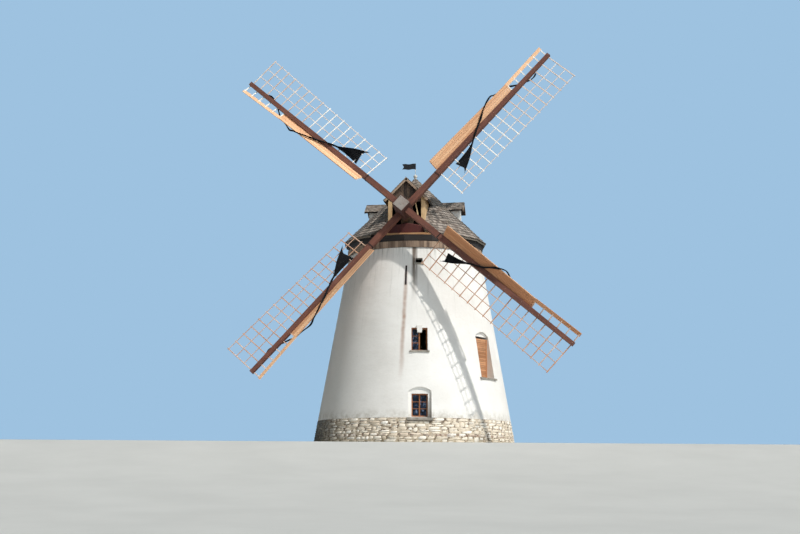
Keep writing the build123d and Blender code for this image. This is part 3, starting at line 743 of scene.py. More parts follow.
def glazing_bars(shape):
    light = (WINDOW_WIDTH - 3 * FRAME_BAR) / 2
    for azimuth in WINDOW_AZIMUTHS:
        for window in (LOW_WINDOW, MIDDLE_WINDOW):
            foot, head, face = window
            for side in (-1, 1):
                stands_open = side == 1 and window is MIDDLE_WINDOW and azimuth == WINDOW_AZIMUTHS[0]
                if stands_open:
                    continue
                middle = side * (FRAME_BAR + light) / 2
                for order in range(1, GLAZING_BARS + 1):
                    z = foot + FRAME_BAR + (head - foot - 2 * FRAME_BAR) * order / (GLAZING_BARS + 1)
                    left, right = [beside(azimuth, middle + way * light / 2, face - GLAZING_SETBACK, z)
                                   for way in (-1, 1)]
                    shape.beam(left, right, 0.028, 0.022, facing(azimuth), draw())


# Loading shutter of level boards, and the entrance door's upright planks with strap hinges

SHUTTER_HALF_WIDTH = 0.571
SHUTTER_FOOT = 3.305
SHUTTER_HEAD = 5.30
SHUTTER_FACE = 4.126
SHUTTER_BOARDS = 21
STILE_WIDTH = 0.09


def shutter_boards(shape):
    pitch = (SHUTTER_HEAD - SHUTTER_FOOT) / SHUTTER_BOARDS
    for index in range(SHUTTER_BOARDS):
        low = SHUTTER_FOOT + index * pitch + 0.006
        thickness = 0.018 + draw(0.0, 0.006)
        board_on(shape, LOADING_AZIMUTH, SHUTTER_FACE, thickness, (-SHUTTER_HALF_WIDTH, SHUTTER_HALF_WIDTH),
                 (low, low + pitch - 0.012), draw())
    for side in (-1, 1):
        sides = sorted((side * SHUTTER_HALF_WIDTH, side * (SHUTTER_HALF_WIDTH - STILE_WIDTH)))
        board_on(shape, LOADING_AZIMUTH, SHUTTER_FACE + 0.024, 0.02, sides,
                 (SHUTTER_FOOT, SHUTTER_HEAD - 0.004), 0.15 + 0.2 * draw())


DOOR_HALF_WIDTH = 0.546
DOOR_FOOT = 0.155
DOOR_HEAD = 2.145
DOOR_FACE = 4.584
DOOR_PLANKS = 7
STRAP_HEIGHTS = (0.45, 1.15, 1.85)
STRAP_NAILS = (-0.46, -0.3, -0.14, 0.02, 0.2)
STRAP_END = 0.28
LATCH_ACROSS = 0.42


def door_planks(shape):
    pitch = 2 * DOOR_HALF_WIDTH / DOOR_PLANKS
    for index in range(DOOR_PLANKS):
        left = -DOOR_HALF_WIDTH + index * pitch + 0.003
        thickness = 0.02 + draw(0.0, 0.004)
        board_on(shape, ENTRANCE_AZIMUTH, DOOR_FACE, thickness, (left, left + pitch - 0.006),
                 (DOOR_FOOT, DOOR_HEAD), draw())


def door_irons(shape):
    outward = facing(ENTRANCE_AZIMUTH)
    face = DOOR_FACE + 0.027
    for z in STRAP_HEIGHTS:
        hinge, end = [beside(ENTRANCE_AZIMUTH, across, face, z) for across in (-DOOR_HALF_WIDTH, STRAP_END)]
        shape.beam(hinge, end, 0.05, 0.008, outward, 0.5, 0.002)
        for across in STRAP_NAILS:
            nail = beside(ENTRANCE_AZIMUTH, across, face, z)
            shape.beam(nail, nail + outward * 0.012, 0.022, 0.022, UP, 0.7, 0.006)
    plate = beside(ENTRANCE_AZIMUTH, LATCH_ACROSS, face, 1.0)
    shape.beam(plate, plate + UP * 0.2, 0.07, 0.008, outward, 0.4, 0.002)
    grip = outward * 0.05
    low, high = plate + UP * 0.04, plate + UP * 0.16
    for start, end in ((low, low + grip), (low + grip, high + grip), (high + grip, high)):
        shape.beam(start, end, 0.014, 0.014, facing(ENTRANCE_AZIMUTH + 90.0), 0.6, 0.003)


# Band of upright boards under the cap

CURB_BOARDS = 168


def curb_boards(shape):
    inner = CURB_RADIUS - 0.01
    for index in range(CURB_BOARDS):
        azimuth = 360.0 / CURB_BOARDS * index
        half = 180.0 / CURB_BOARDS - 0.045 - draw(0.0, 0.05)
        outer = CURB_RADIUS + 0.022 + draw(-0.004, 0.004)
        foot = WALL_TOP + 0.004 + draw(0.0, 0.012)
        corners = ((-half, inner), (half, inner), (half, outer), (-half, outer))
        rings = [[around(azimuth + turn, radius, z) for turn, radius in corners]
                 for z in (foot, CURB_TOP - 0.004)]
        shape.loft(rings, draw())


# Shingles

FACET_SLOPE = (APEX_HEIGHT - EAVE_HEIGHT) / (EAVE_RADIUS * cos(pi / ROOF_SIDES))
LAP = 0.10
OVERHANG = 0.03
ROOF_ROWS = 22
ROOF_EXPOSURE = 0.24
ROOF_WIDTHS = (0.09, 0.17)
GABLE_WIDTHS = (0.09, 0.16)
HOOD_EXPOSURE = 0.17
DORMER_EXPOSURE = 0.15


def facet_angle(index):
    return 2 * pi * (index + 0.5) / ROOF_SIDES


def roof_height(x, y):
    angles = [facet_angle(index) for index in range(ROOF_SIDES)]
    return APEX_HEIGHT - FACET_SLOPE * max(0.0, *(x * sin(a) - y * cos(a) for a in angles))


def above_roof(point):
    return point.z > roof_height(point.x, point.y) - 0.02


def inside_hood(point):
    below = point.z < HOOD_RIDGE - abs(point.x) + 0.02
    return abs(point.x) < HOOD_HALF_ROOM and point.y < -HOOD_BACK and below


def inside_dormer(point):
    below = point.z < DORMER_RIDGE - DORMER_SLOPE * abs(point.y) + 0.02
    return abs(point.y) < DORMER_HALF_ROOM and DORMER_BACK < abs(point.x) < DORMER_FACE + 0.05 and below


def on_open_roof(point):
    return not inside_hood(point) and not inside_dormer(point)


def cut_to(piece, outline):
    """The part of a piece inside a convex outline."""
    for index in range(len(outline)):
        a, b = outline[index - 1], outline[index]
        piece = clip(piece, lambda p: (b[0] - a[0]) * (p[1] - a[1]) - (b[1] - a[1]) * (p[0] - a[0]))
    return piece


def shingle(shape, origin, across, down, piece, top, butt):
    """A board that gets thicker and rises from its hidden top to its butt."""
    thick = draw(0.015, 0.023)
    lift = draw(0.0, 0.006)
    seed = draw(0.0, 30.0)
    normal = upward(across.cross(down))
    exposure = butt - top - LAP
    lower, upper, grain = [], [], []
    for u, v in piece:
        share = max(0.0, min(1.0, (v - top) / (exposure + LAP)))
        base = origin + across * u + down * v
        rise = 0.003 + share * (0.016 + lift)
        lower.append(base + normal * rise)
        upper.append(base + normal * (rise + thick * (0.4 + 0.6 * share)))
        grain.append((v + seed, u + seed, (v - butt) / exposure))
    shape.add(lower + upper, tube_faces(len(piece)), draw(), grain + grain)


def courses(shape, origin, across, down, outline, rows, exposure, widths, keep):
    """Rows of shingles on a plane, drawn in (across, down) and cut to a convex outline."""
    bottom = max(v for _, v in outline)
    right = max(u for u, _ in outline)
    for row in range(rows):
        butt = bottom - row * exposure + draw(-0.005, 0.005)
        top = butt - exposure - LAP
        left = min(u for u, _ in outline) - draw(0.0, widths[1])
        while left < right:
            width = draw(*widths)
            slip = draw(-0.007, 0.008)
            near, far = left + 0.003, left + width - 0.003
            piece = cut_to([(near, top), (far, top), (far, butt + slip), (near, butt + slip * 0.6)], outline)
            left += width
            if not piece:
                continue
            u, v = [sum(values) / len(piece) for values in zip(*piece)]
            if keep(origin + across * u + down * v):
                shingle(shape, origin, across, down, piece, top, butt)


def roof_shingles(shape):
    half = pi / ROOF_SIDES
    apothem = EAVE_RADIUS * cos(half)
    slope_length = hypot(apothem, APEX_HEIGHT - EAVE_HEIGHT)
    reach = slope_length + OVERHANG
    spread = EAVE_RADIUS * sin(half) * reach / slope_length
    apex = UP * APEX_HEIGHT
    front = -FRONT_CUT - VERGE_THICKNESS - 0.02
    for index in range(ROOF_SIDES):
        angle = facet_angle(index)
        outward = Vector((sin(angle), -cos(angle), 0.0))
        across = Vector((cos(angle), sin(angle), 0.0))
        down = (outward * apothem + UP * (EAVE_HEIGHT - APEX_HEIGHT)).normalized()
        outline = [(-0.02, 0.09), (0.02, 0.09), (spread, reach), (-spread, reach)]
        outline = clip(outline, lambda p: (apex + across * p[0] + down * p[1]).y - front)
        courses(shape, apex, across, down, outline, ROOF_ROWS, ROOF_EXPOSURE, ROOF_WIDTHS, on_open_roof)


def gable_shingles(shape, start, along, side, slope, half_width, length, exposure):
    """Both slopes of a gable roof whose ridge starts at a point and runs along a direction."""
    for way in (-1, 1):
        down = (side * way - UP * slope).normalized()
        reach = half_width * hypot(1.0, slope) + OVERHANG
        outline = [(0.0, 0.0), (length, 0.0), (length, reach), (0.0, reach)]
        rows = int(reach / exposure) + 1
        courses(shape, start, along, down, outline, rows, exposure, GABLE_WIDTHS, above_roof)


def hood_shingles(shape):
    start = Vector((0.0, -HOOD_FRONT - 0.02, HOOD_RIDGE))
    gable_shingles(shape, start, -TO_FRONT, Vector((1.0, 0.0, 0.0)), 1.0, HOOD_HALF_WIDTH,
                   HOOD_FRONT - HOOD_BACK, HOOD_EXPOSURE)
    cap_start, cap_end = start + Vector((0.0, 0.01, 0.012)), start + Vector((0.0, 2.45, 0.012))
    shape.beam(cap_start, cap_end, 0.12, 0.03, Vector((0.7, 0.0, 0.7)), 0.4)


def dormer_shingles(shape):
    for side in (-1, 1):
        start = Vector((side * (DORMER_REACH + 0.02), 0.0, DORMER_RIDGE))
        gable_shingles(shape, start, Vector((-side, 0.0, 0.0)), -TO_FRONT, DORMER_SLOPE, DORMER_HALF_WIDTH,
                       DORMER_REACH - DORMER_BACK, DORMER_EXPOSURE)


# Boards on the gables of the hood and the dormers, and a prop behind the front panel

GABLE_HALF_WIDTH = 0.757
GABLE_FOOT = 12.30
GABLE_RIDGE = 13.415
GABLE_FACE = 2.88
GABLE_PLANKS = 10
BARGE_WIDTH = 0.11
BARGE_THICKNESS = 0.026
PROP_HEAD = Vector((0.41, -2.926, 12.5))
PROP_FOOT = Vector((0.70, -2.926, 11.02))


def gable_planks(shape):
    pitch = 2 * GABLE_HALF_WIDTH / GABLE_PLANKS
    for index in range(GABLE_PLANKS):
        left = -GABLE_HALF_WIDTH + index * pitch + 0.003
        right = left + pitch - 0.006
        foot = GABLE_FOOT - draw(0.0, 0.02)
        thickness = 0.016 + draw(0.0, 0.006)
        corners = ((left, foot), (right, foot),
                   (right, GABLE_RIDGE - abs(right)), (left, GABLE_RIDGE - abs(left)))
        outline = [Vector((x, -GABLE_FACE - thickness / 2, z)) for x, z in corners]
        shape.panel(outline, TO_FRONT, thickness, draw())


def barge_board(shape, ridge, way, fall, slope, out):
    """A board along one slope of a gable, just under its edge."""
    down = (way - UP * slope).normalized()
    top = ridge - upward(out.cross(down)) * (BARGE_WIDTH / 2)
    shape.beam(top - down * 0.02, top + down * fall, BARGE_WIDTH, BARGE_THICKNESS, out, draw())


def hood_boards(shape):
    ridge = Vector((0.0, -HOOD_FRONT - BARGE_THICKNESS / 2, HOOD_RIDGE))
    for side in (-1, 1):
        barge_board(shape, ridge, Vector((side, 0.0, 0.0)), HOOD_HALF_WIDTH * sqrt(2.0), 1.0, TO_FRONT)


def dormer_boards(shape):
    fall = DORMER_HALF_WIDTH * hypot(1.0, DORMER_SLOPE)
    for side in (-1, 1):
        ridge = Vector((side * (DORMER_REACH + BARGE_THICKNESS / 2), 0.0, DORMER_RIDGE))
        for way in (-1, 1):
            barge_board(shape, ridge, Vector((0.0, way, 0.0)), fall, DORMER_SLOPE, Vector((side, 0.0, 0.0)))


def hood_prop(shape):
    shape.beam(PROP_HEAD, PROP_FOOT, 0.055, 0.046, TO_FRONT, 0.7)


# Sails: a point is given along the stock, towards the leading edge, and towards the wind.
# Two of them hang low at rest, and their bars, uplongs and rungs get a darker tone as painted shade; the last
# one lies in shade, its planks and end lath are darker as painted shade, and it has a cloth that ends behind
# its board.

SHAFT = Vector((0.0, -cos(TILT), sin(TILT)))
LEVEL = Vector((1.0, 0.0, 0.0))
RISING = SHAFT.cross(LEVEL)
SAILS = 4
LOWER_SAILS_IN_SHADE = (2, 3)
SHADED_SAIL = 3
PALE_BARS = 9
UPLONG_SHARES = (0.36, 0.68, 1.0)
BAR_SIZE = (0.052, 0.035)
UPLONG_SIZE = (0.038, 0.022)


def sail_axes(index):
    angle = REST_ANGLE + pi / 2 * index
    along = LEVEL * cos(angle) + RISING * sin(angle)
    lead = RISING * cos(angle) - LEVEL * sin(angle)
    centre = HUB if index % 2 else HUB - SHAFT * STOCK_SPACING
    return centre, along, lead


def sail_point(index, radius, lead_by, forward):
    centre, along, lead = sail_axes(index)
    return centre + along * radius + lead * lead_by + SHAFT * forward


def trail_edge(radius):
    share = (radius - HEEL_RADIUS) / (TIP_RADIUS - HEEL_RADIUS)
    return -1.5 - 0.28 * share, -0.4 + 0.38 * share


def lead_edge(radius):
    if radius <= BOARD_END:
        share = (radius - HEEL_RADIUS) / (BOARD_END - HEEL_RADIUS)
        return 0.54 - 0.02 * share, 0.60 - 0.34 * share
    share = (radius - BOARD_END) / (TIP_RADIUS - BOARD_END)
    return 0.52 + 0.07 * share, 0.26 - 0.11 * share


def stock_taper(radius):
    return max(0.0, radius - STOCK_ROOT) / (SAIL_REACH - STOCK_ROOT)


def stock_half_width(radius):
    return 0.15 - 0.05 * stock_taper(radius)


def bar_radii():
    return [HEEL_RADIUS + (TIP_RADIUS - HEEL_RADIUS) * index / (BAR_COUNT - 1) for index in range(BAR_COUNT)]


def bar_face(index, side, forward):
    _, _, lead = sail_axes(index)
    return lead * forward - SHAFT * side


def bar(shape, index, radius, edge, reach, size, tone, cut=0.004):
    """A bar from the stock out to an edge, or to a share of the way there."""
    side, forward = edge(radius)
    inner = stock_half_width(radius) / abs(side)
    start, end = [sail_point(index, radius, side * share, forward * share) for share in (inner, reach)]
    shape.beam(start, end, *size, bar_face(index, side, forward), tone, cut)


def sail_bars(shape):
    for index in range(SAILS):
        shaded_low_sail = index in LOWER_SAILS_IN_SHADE
        for order, radius in enumerate(bar_radii()):
            reach = 1.0 + 0.07 / hypot(*trail_edge(radius))
            pale = 1.15 if order < PALE_BARS else 0.65
            # Bars and uplongs of the lower sails get a darker tone: painted shade
            tone = (0.35 if shaded_low_sail else pale) - 0.25 * draw()
            bar(shape, index, radius, trail_edge, reach, BAR_SIZE, tone, 0.006)
        face = bar_face(index, *trail_edge((HEEL_RADIUS + TIP_RADIUS) / 2))
        for share in UPLONG_SHARES:
            ends = []
            for radius in (HEEL_RADIUS - 0.07, TIP_RADIUS + 0.035):
                outer, lift = trail_edge(radius)
                ends.append(sail_point(index, radius, outer * share, lift * share))
            shape.beam(*ends, *UPLONG_SIZE, face, 0.2 if shaded_low_sail else 0.6, 0.005)


# Leading boards: planks side by side, a lath along their edge, and an open frame beyond them

BOARD_PLANKS = 4
PLANK_GAP = 0.007
PLANK_HALF_THICKNESS = 0.013
PLANK_JOINTS = (4.4, 5.3, 6.2, 7.1)
BATTEN_SIZE = (0.04, 0.024)
RUNG_SIZE = (0.055, 0.028)
END_LATH_WIDTH = 0.19
END_LATH_INSET = 0.05


def board_point(index, radius, share, lift=0.0):
    lead, forward = lead_edge(radius)
    run_lead, run_forward = lead - BOARD_ROOT_LEAD, forward - BOARD_ROOT_FORWARD
    length = hypot(run_lead, run_forward)
    return sail_point(index, radius, BOARD_ROOT_LEAD + run_lead * share - run_forward / length * lift,
                      BOARD_ROOT_FORWARD + run_forward * share + run_lead / length * lift)


def plank_root(radius):
    """Where the planks start beside the stock, as a share of the board's width."""
    lead, _ = lead_edge(radius)
    return (stock_half_width(radius) + 0.003 - BOARD_ROOT_LEAD) / (lead - BOARD_ROOT_LEAD)


def plank(shape, index, start, end, low, high):
    steps = max(2, int((end - start) / 0.6))
    # The shaded sail's planks get a darker tone: painted shade
    tone = draw(-0.4, 0.2) if index == SHADED_SAIL else draw(0.3, 1.0)
    half = PLANK_HALF_THICKNESS
    rings = []
    for step in range(steps + 1):
        radius = start + (end - start) * step / steps
        root = plank_root(radius)
        left, right = root + (1.0 - root) * low, root + (1.0 - root) * high
        corners = ((left, -half), (right, -half), (right, half), (left, half))
        rings.append([board_point(index, radius, share, lift) for share, lift in corners])
    shape.loft(rings, tone)


def lath(shape, index, start, end, width, thickness, inset, tone):
    face = -bar_face(index, *lead_edge(start))
    ends = []
    for radius in (start, end):
        lead, forward = lead_edge(radius)
        share = 1.0 - inset / hypot(lead, forward)
        ends.append(sail_point(index, radius, lead * share, forward * share))
    shape.beam(*ends, width, thickness, face, tone)


def board_planks(shape):
    for index in range(SAILS):
        for order in range(BOARD_PLANKS):
            joint = chance.choice(PLANK_JOINTS)
            low, high = order / BOARD_PLANKS + PLANK_GAP, (order + 1) / BOARD_PLANKS - PLANK_GAP
            plank(shape, index, HEEL_RADIUS, joint - 0.004, low, high)
            plank(shape, index, joint + 0.004, BOARD_END, low, high)
        lath(shape, index, HEEL_RADIUS, BOARD_END, 0.05, 0.04, 0.0, 0.3 + 0.3 * draw())
        # The shaded sail's end lath gets a darker tone: painted shade
        lath(shape, index, BOARD_END - 0.03, TIP_RADIUS + 0.07, END_LATH_WIDTH, 0.03, END_LATH_INSET,
             0.15 if index == SHADED_SAIL else 0.8)


def board_rungs(shape):
    """Battens behind the planks, and beyond them the open frame's rungs."""
    for index in range(SAILS):
        _, _, towards_lead = sail_axes(index)
        for radius in bar_radii():
            if radius < BOARD_END - 0.1:
                start, end = [board_point(index, radius, share, -0.026) for share in (0.22, 0.97)]
                shape.beam(start, end, *BATTEN_SIZE, SHAFT * 0.7 - towards_lead * 0.7, draw())
            else:
                # Rungs of the lower sails get a darker tone: painted shade
                tone = 0.42 if index in LOWER_SAILS_IN_SHADE else 1.05
                bar(shape, index, radius, lead_edge, 1.0, RUNG_SIZE, tone)


# Iron bands and bolts on the stocks, and the plate on the poll end

BAND_RADIUS = 2.5
IRON = 0.008


def stock_irons(shape):
    half = stock_half_width(BAND_RADIUS) + IRON / 2
    back = STOCK_FRONT - (0.30 - 0.12 * stock_taper(BAND_RADIUS))
    for index in range(SAILS):
        _, _, lead = sail_axes(index)
        for forward in (STOCK_FRONT + IRON / 2, back - IRON / 2):
            start, end = [sail_point(index, BAND_RADIUS, side, forward) for side in (-half, half)]
            shape.beam(start, end, 0.07, IRON, SHAFT, 0.5, 0.001)
        for side in (-half, half):
            start, end = [sail_point(index, BAND_RADIUS, side, forward) for forward in (back, STOCK_FRONT)]
            shape.beam(start, end, 0.07, IRON, lead, 0.5, 0.001)


def stock_bolts(shape):
    for index in range(SAILS):
        for order, radius in enumerate(bar_radii()):
            half, width = (0.012, 0.022) if order % 2 else (0.022, 0.04)
            start, end = [sail_point(index, radius + way * half, 0.0, STOCK_FRONT + 0.005) for way in (-1, 1)]
            shape.beam(start, end, width, 0.012, SHAFT, 0.5 + 0.5 * draw(), 0.003)


def poll_point(across, up, forward):
    """A point on the poll end, along the front stock's and the rear stock's directions."""
    _, along, lead = sail_axes(1)
    return HUB + along * across + lead * up + SHAFT * (POLL_NOSE + forward)


def poll_plate(shape):
    half = POLL_HALF_WIDTH - 0.03
    _, along, _ = sail_axes(1)
    left, right = [poll_point(across, 0.0, 0.005) for across in (-half, half)]
    shape.beam(left, right, 2 * half, 0.012, SHAFT, 0.5)
    for across in (-0.24, -0.08, 0.08, 0.24):
        for up in (-0.24, 0.24):
            for place in ((across, up), (up, across)):
                back, front = poll_point(*place, 0.008), poll_point(*place, 0.03)
                shape.beam(back, front, 0.036, 0.036, along, 0.2, 0.01)
    shape.beam(poll_point(0.0, 0.0, 0.008), poll_point(0.0, 0.0, 0.03), 0.16, 0.16, along, 0.3, 0.045)


# Sailcloths: one long black cloth a sail, spread at the heel and twisted from there on.
# A route gives the furled cloth's middle along the stock, towards the leading edge and towards the wind.

CLOTH_WIDTH = 0.9
CLOTH_FOLDS = 8
CLOTH_COLUMNS = 80
CLOTH_FLAP_LENGTH = 1.28
ROUTE_STEPS = 8
FLAP_ROWS = 30
TWIST_START = 1.4
THIN_START = 2.9
CLOTH_ROUTE = ((3.62, -0.64, -0.07), (4.2, -0.50, -0.02), (4.72, -0.34, 0.03), (5.02, -0.23, 0.12),
               (5.28, -0.11, 0.215), (5.6, 0.02, 0.225), (5.95, 0.16, 0.235), (6.35, 0.33, 0.345),
               (6.8, 0.50, 0.425), (7.15, 0.60, 0.43), (7.4, 0.655, 0.33), (7.62, 0.60, 0.19),
               (8.0, 0.50, 0.12), (8.4, 0.43, 0.08), (8.75, 0.24, -0.04), (9.05, 0.08, -0.13),
               (9.3, -0.03, -0.15), (9.5, -0.15, -0.12), (9.75, -0.20, -0.08), (9.95, -0.15, -0.06))
SHORT_ROUTE = ((3.5, -0.62, -0.07), (3.85, -0.50, -0.02), (4.2, -0.36, 0.03), (4.5, -0.24, 0.12),
               (4.8, -0.12, 0.215), (5.1, 0.02, 0.225), (5.4, 0.16, 0.24), (5.7, 0.34, 0.37),
               (6.0, 0.50, 0.465), (6.2, 0.60, 0.47), (6.4, 0.66, 0.37), (6.6, 0.60, 0.23),
               (6.85, 0.46, 0.11), (6.98, 0.28, -0.05), (6.88, 0.12, -0.17), (6.5, 0.06, -0.20),
               (6.1, 0.02, -0.20), (5.6, 0.05, -0.20), (5.1, 0.02, -0.21), (4.7, 0.06, -0.21))
FLAP_SIZES = (0.75, 1.0, 1.0, 0.6)


def curve_through(points, steps):
    """A smooth line through the points, with its first and last point repeated."""
    points = [Vector(point) for point in points]
    line = [points[0]] + points + [points[-1]]
    made = []
    for index in range(1, len(line) - 2):
        p0, p1, p2, p3 = line[index - 1:index + 3]
        for step in range(steps):
            t = step / steps
            made.append(0.5 * ((2 * p1) + (p2 - p0) * t + (2 * p0 - 5 * p1 + 4 * p2 - p3) * t * t
                               + (3 * p1 - p0 - 3 * p2 + p3) * t ** 3))
    made.append(points[-1])
    return made


def fold_line(share, phase):
    """A rounded zigzag between -1 and 1."""
    wave = sin(pi * 2 * CLOTH_FOLDS * share + phase)
    return wave * (1.3 - 0.3 * wave * wave)


def cloth_row(run, gather, flap_size, slack):
    """Points across the cloth in its own section, as (sideways, outward, drawn back at the corner)."""
    spread = 0.78 * flap_size * (1.0 - gather) ** 1.15 + 0.085
    fold = 0.028 + 0.014 * gather
    if run > THIN_START:
        spread *= 0.8
        fold *= 0.8
    twist = 0.0 if gather < 1.0 else 1.9 * max(0.0, run - TWIST_START)
    row = []
    for column in range(CLOTH_COLUMNS + 1):
        t = column / CLOTH_COLUMNS
        phase = 0.5 * sin(run * 3.1 + slack[int(t * CLOTH_FOLDS * 2)])
        a = (t - 0.5) * spread + 0.012 * gather * cos(9.0 * t + run * 4.0)
        b = fold * fold_line(t, phase) * (0.75 + 0.25 * sin(run * 5.0 + 7.0 * t))
        corner = max(0.0, 1.0 - t * 3.4) ** 1.6 * max(0.0, 1.0 - gather * 3.2)
        row.append((a * cos(twist) - b * sin(twist),
                    a * sin(twist) + b * cos(twist), corner))
    return row


def cloth_points(index):
    """Points of a cloth, row after row along its route, and their grain."""
    route = SHORT_ROUTE if index == SHADED_SAIL else CLOTH_ROUTE
    line = curve_through(route, ROUTE_STEPS)
    heel, flap_size = route[0][0], FLAP_SIZES[index]
    flap_reach = CLOTH_FLAP_LENGTH * min(1.0, flap_size + 0.2)
    _, along, lead = sail_axes(index)
    slack = [draw(-1.0, 1.0) for _ in range(CLOTH_FOLDS * 2 + 2)]
    points, grain = [], []
    run = 0.0
    for order, place in enumerate(line):
        before, after = line[max(0, order - 1)], line[min(len(line) - 1, order + 1)]
        if order:
            run += (place - before).length
        step = after - before
        tangent = (along * step[0] + lead * step[1] + SHAFT * step[2]).normalized()
        normal = (SHAFT - tangent * SHAFT.dot(tangent)).normalized()
        side = normal.cross(tangent)
        if side.dot(lead) < 0:
            side = -side
        gather = min(1.0, max(0.0, (place[0] - heel) / flap_reach)) if order < FLAP_ROWS else 1.0
        for column, (x, y, corner) in enumerate(cloth_row(run, gather, flap_size, slack)):
            drawn_back = (along * 0.36 + lead * 0.10) * corner * flap_size
            points.append(sail_point(index, *place) + side * x + normal * y - drawn_back)
            grain.append((run, column / CLOTH_COLUMNS * CLOTH_WIDTH, 0.0))
    return points, grain


def sailcloth(index, material):
    points, grain = cloth_points(index)
    rows = len(points) // (CLOTH_COLUMNS + 1)
    name = f"sailcloth_{index + 1}"
    mesh = new_mesh(name, points, grid_faces(rows - 1, CLOTH_COLUMNS))
    mesh.shade_smooth()
    set_grain(mesh, grain)
    piece = show(name, mesh, material)
    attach(piece, "sails")
    return piece


# Stage: a level floor that falls away towards the camera, which stands lower than the foot

FLOOR_HALF_WIDTH = 220.0
FLOOR_STEPS = 8
FLOOR_LINE = ((-220.0, 0.0), (-60.0, 0.0), (-20.0, 0.0), (6.0, 0.0), (6.6, -0.04), (7.4, -0.15), (8.6, -0.36),
              (10.5, -0.70), (15.0, -1.5), (25.0, -2.6), (40.0, -3.4), (66.0, -3.8), (120.0, -4.0),
              (220.0, -4.0))


def stage(material):
    forward = Vector((sin(CAMERA_TURN), -cos(CAMERA_TURN), 0.0))
    level = Vector((cos(CAMERA_TURN), sin(CAMERA_TURN), 0.0))
    points = []
    for distance, drop in FLOOR_LINE:
        for step in range(FLOOR_STEPS + 1):
            side = FLOOR_HALF_WIDTH * (2 * step / FLOOR_STEPS - 1)
            points.append(forward * distance + level * side + UP * (drop - 0.004))
    mesh = new_mesh("floor", points, grid_faces(len(FLOOR_LINE) - 1, FLOOR_STEPS))
    tidy_normals(mesh)
    mesh.shade_smooth()
    floor = show("floor", mesh, material)


def sun(name, azimuth, elevation, strength, spread, colour):
    lamp = bpy.data.lights.new(name, "SUN")
    lamp.energy = strength
    lamp.angle = radians(spread)
    lamp.color = colour
    height = radians(elevation)
    towards = around(azimuth, cos(height), sin(height))
    show_object(name, lamp).rotation_euler = towards.to_track_quat("Z", "Y").to_euler()


def sky():
    """Pale blue where it is looked at, and a weak even light on everything."""
    world = bpy.data.worlds.new("studio")
    bpy.context.scene.world = world
    world.use_nodes = True
    world.node_tree.nodes.clear()
    w = Graph(world.node_tree)
    lighting = w.field("Background", {0: (0.78, 0.89, 1.0, 1.0), 1: 0.09})
    seen = w.field("Background", {0: linear(158, 194, 224)})
    w.node("OutputWorld", {0: w.field("MixShader", {0: w.rays("Camera", "Glossy", "Transmission"),
                                                    1: lighting, 2: seen})})


def dress(material, *names):
    for name in names:
        mesh = nodes[name].data
        mesh.materials.clear()
        mesh.materials.append(material)


bpy.context.scene.view_settings.view_transform = "Standard"
place_camera()
sky()
sun("key", 57.0, 50.0, 3.1, 1.6, (1.0, 0.975, 0.94))
sun("fill", 40.0, 12.0, 1.0, 40.0, (0.84, 0.93, 1.0))
stage(floor_paint())

# Materials that pieces made here share, some of them with solids
UPRIGHT_GRAIN = (12.0, 12.0, 1.0)
LIGHT_TIMBER = ((186, 146, 100), (238, 206, 158), (140, 108, 78))
shingles = shingle_wood()
pale_bar = timber("lattice_timber", (196, 138, 96), (255, 251, 242), (186, 150, 126), wear=0.1)
tan_board = timber("board_timber", (206, 143, 100), (255, 207, 162), (178, 122, 90),
                   wear=0.2, axis=(0.4, 7.0, 7.0))
grey_board = timber("grey_boards", (106, 86, 71), (174, 149, 126), (88, 74, 63))
brown_board = timber("brown_boards", (168, 114, 76), (212, 158, 116), (132, 94, 68))
joinery = solid_timber("window_joinery", (104, 60, 34), (178, 114, 66), (206, 172, 138),
                       wear=0.3, axis=(12.0, 12.0, 1.5))
iron = painted("rusty_iron", (44, 32, 28), (110, 62, 38), 0.6, 0.4)
black_cloth = cloth()

# The solids' materials
dress(lime_render(), *[f"wall_{index}" for index in range(1, 7)], "dormer_walls")
dress(dressings(), "sills_and_keystones")
dress(rubble("plinth_mortar", True), *[f"plinth_{index}" for index in range(1, 5)], "ground_floor")
dress(solid_timber("floor_boards", (110, 84, 58), (158, 126, 92), (90, 70, 52)), "upper_floors")
dress(solid_timber("grey_timber", (66, 56, 48), (104, 90, 78), (60, 52, 46)), "curb_ring", "hood_gable")
dress(solid_timber("roof_timber", (28, 22, 19), (62, 50, 42), (84, 72, 62)), "roof_front_right",
      "roof_front_left", "roof_rear_right", "roof_rear_left", "hood_roof", "dormer_roofs", "cap_ring")
dress(eave_wood(), "eave_boards")
dress(joinery, "window_frames")
dress(glass(), "window_panes")
dress(solid_timber("brown_timber", (60, 40, 28), (96, 66, 46), (60, 44, 34)), "loading_shutter",
      "entrance_door")
dress(iron, "wall_anchor")
dress(solid_timber("old_timber", (66, 48, 34), (110, 84, 62), (60, 50, 42)), "sheer_beams", "breast_beam",
      "tail_beam", "windshaft")
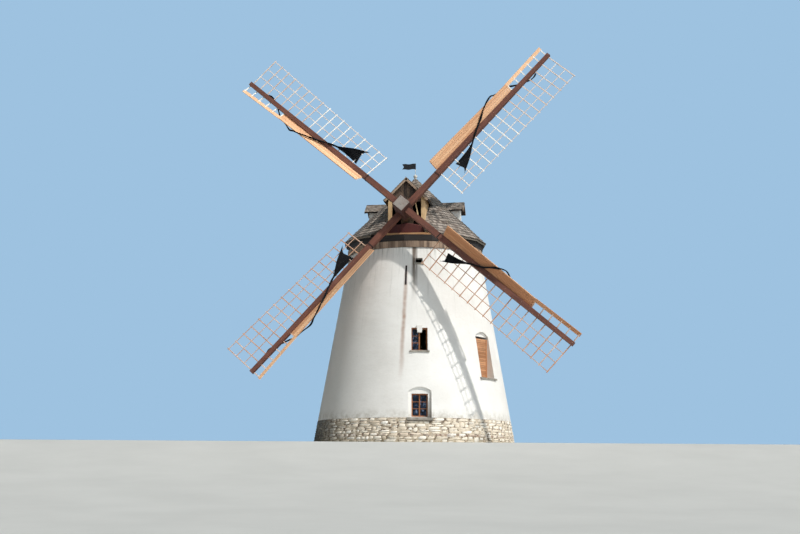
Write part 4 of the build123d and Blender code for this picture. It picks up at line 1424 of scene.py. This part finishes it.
# Verge boards kept dark: painted shade
dress(solid_timber("verge_timber", (46, 38, 32), (84, 72, 60), (112, 98, 84)), "verge_boards")
dress(solid_timber("light_timber", *LIGHT_TIMBER, axis=UPRIGHT_GRAIN), "hood_frame")
dress(solid_timber("front_sill", (176, 120, 76), (226, 178, 128), (120, 86, 60)), "front_sill")
dress(solid_timber("pale_boards", (168, 146, 116), (212, 192, 160), (120, 100, 80), axis=UPRIGHT_GRAIN),
      "front_wall")
dress(solid_timber("red_brown_boards", (58, 21, 17), (98, 38, 30), (62, 36, 30), axis=UPRIGHT_GRAIN),
      "front_panel")
dress(painted("white_painted_metal", (228, 226, 218), (170, 160, 146), 0.4, 0.0, 0.4), "finial")
dress(painted("poll_iron", (84, 48, 38), (56, 38, 32), 0.6, 0.1, 0.5, 3.0), "poll_end")
dress(painted("dark_sheet_metal", (30, 29, 30), (78, 60, 50), 0.45, 0.3, 0.5, 6.0), "vane")
dress(tan_board, "leading_boards")
dress(pale_bar, "sail_lattices")
dress(black_cloth, "sailcloths")
for sail, stock in enumerate(("stock_rear", "stock_front")):
    _, stock_along, stock_lead = sail_axes(sail)
    stock_turn = Matrix((stock_along, stock_lead, SHAFT)).to_euler()
    dress(solid_timber(f"stock_timber_{sail}", (64, 33, 26), (132, 80, 61), (136, 100, 82),
                       wear=0.3, axis=(0.6, 9.0, 9.0), turn=stock_turn), stock)

build(plinth_stones, rubble("plinth_stone", False), "tower", smooth=True)
build(curb_boards, grey_board, "tower")
for fill in (roof_shingles, hood_shingles, dormer_shingles):
    build(fill, shingles, "cap")
build(glazing_bars, joinery, "tower")
for fill in (shutter_boards, door_planks):
    build(fill, brown_board, "tower")
build(door_irons, iron, "tower")
# The gable planks get a darker copy of the grey boards: painted shade
build(gable_planks, timber("gable_boards_shaded", (58, 44, 36), (118, 96, 78), (64, 52, 44)), "cap")
for fill in (hood_boards, dormer_boards):
    build(fill, grey_board, "cap")
build(hood_prop, timber("light_stick", *LIGHT_TIMBER), "cap")
bars = build(sail_bars, pale_bar, "sails")
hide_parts("sail_lattices")
planks = build(board_planks, tan_board, "sails")
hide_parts("leading_boards")
build(board_rungs, pale_bar, "sails")
build(stock_irons, iron, "sails")
build(stock_bolts, painted("bolt_iron", (150, 116, 98), (96, 70, 58), 0.5, 0.2), "sails")
build(poll_plate, painted("grey_painted_iron", (168, 158, 150), (126, 104, 90), 0.55, 0.0, 0.4, 3.0),
      "sails")
for sail in range(SAILS):
    cloth_piece = sailcloth(sail, black_cloth)
    if sail == 0:
        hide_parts("sailcloths")
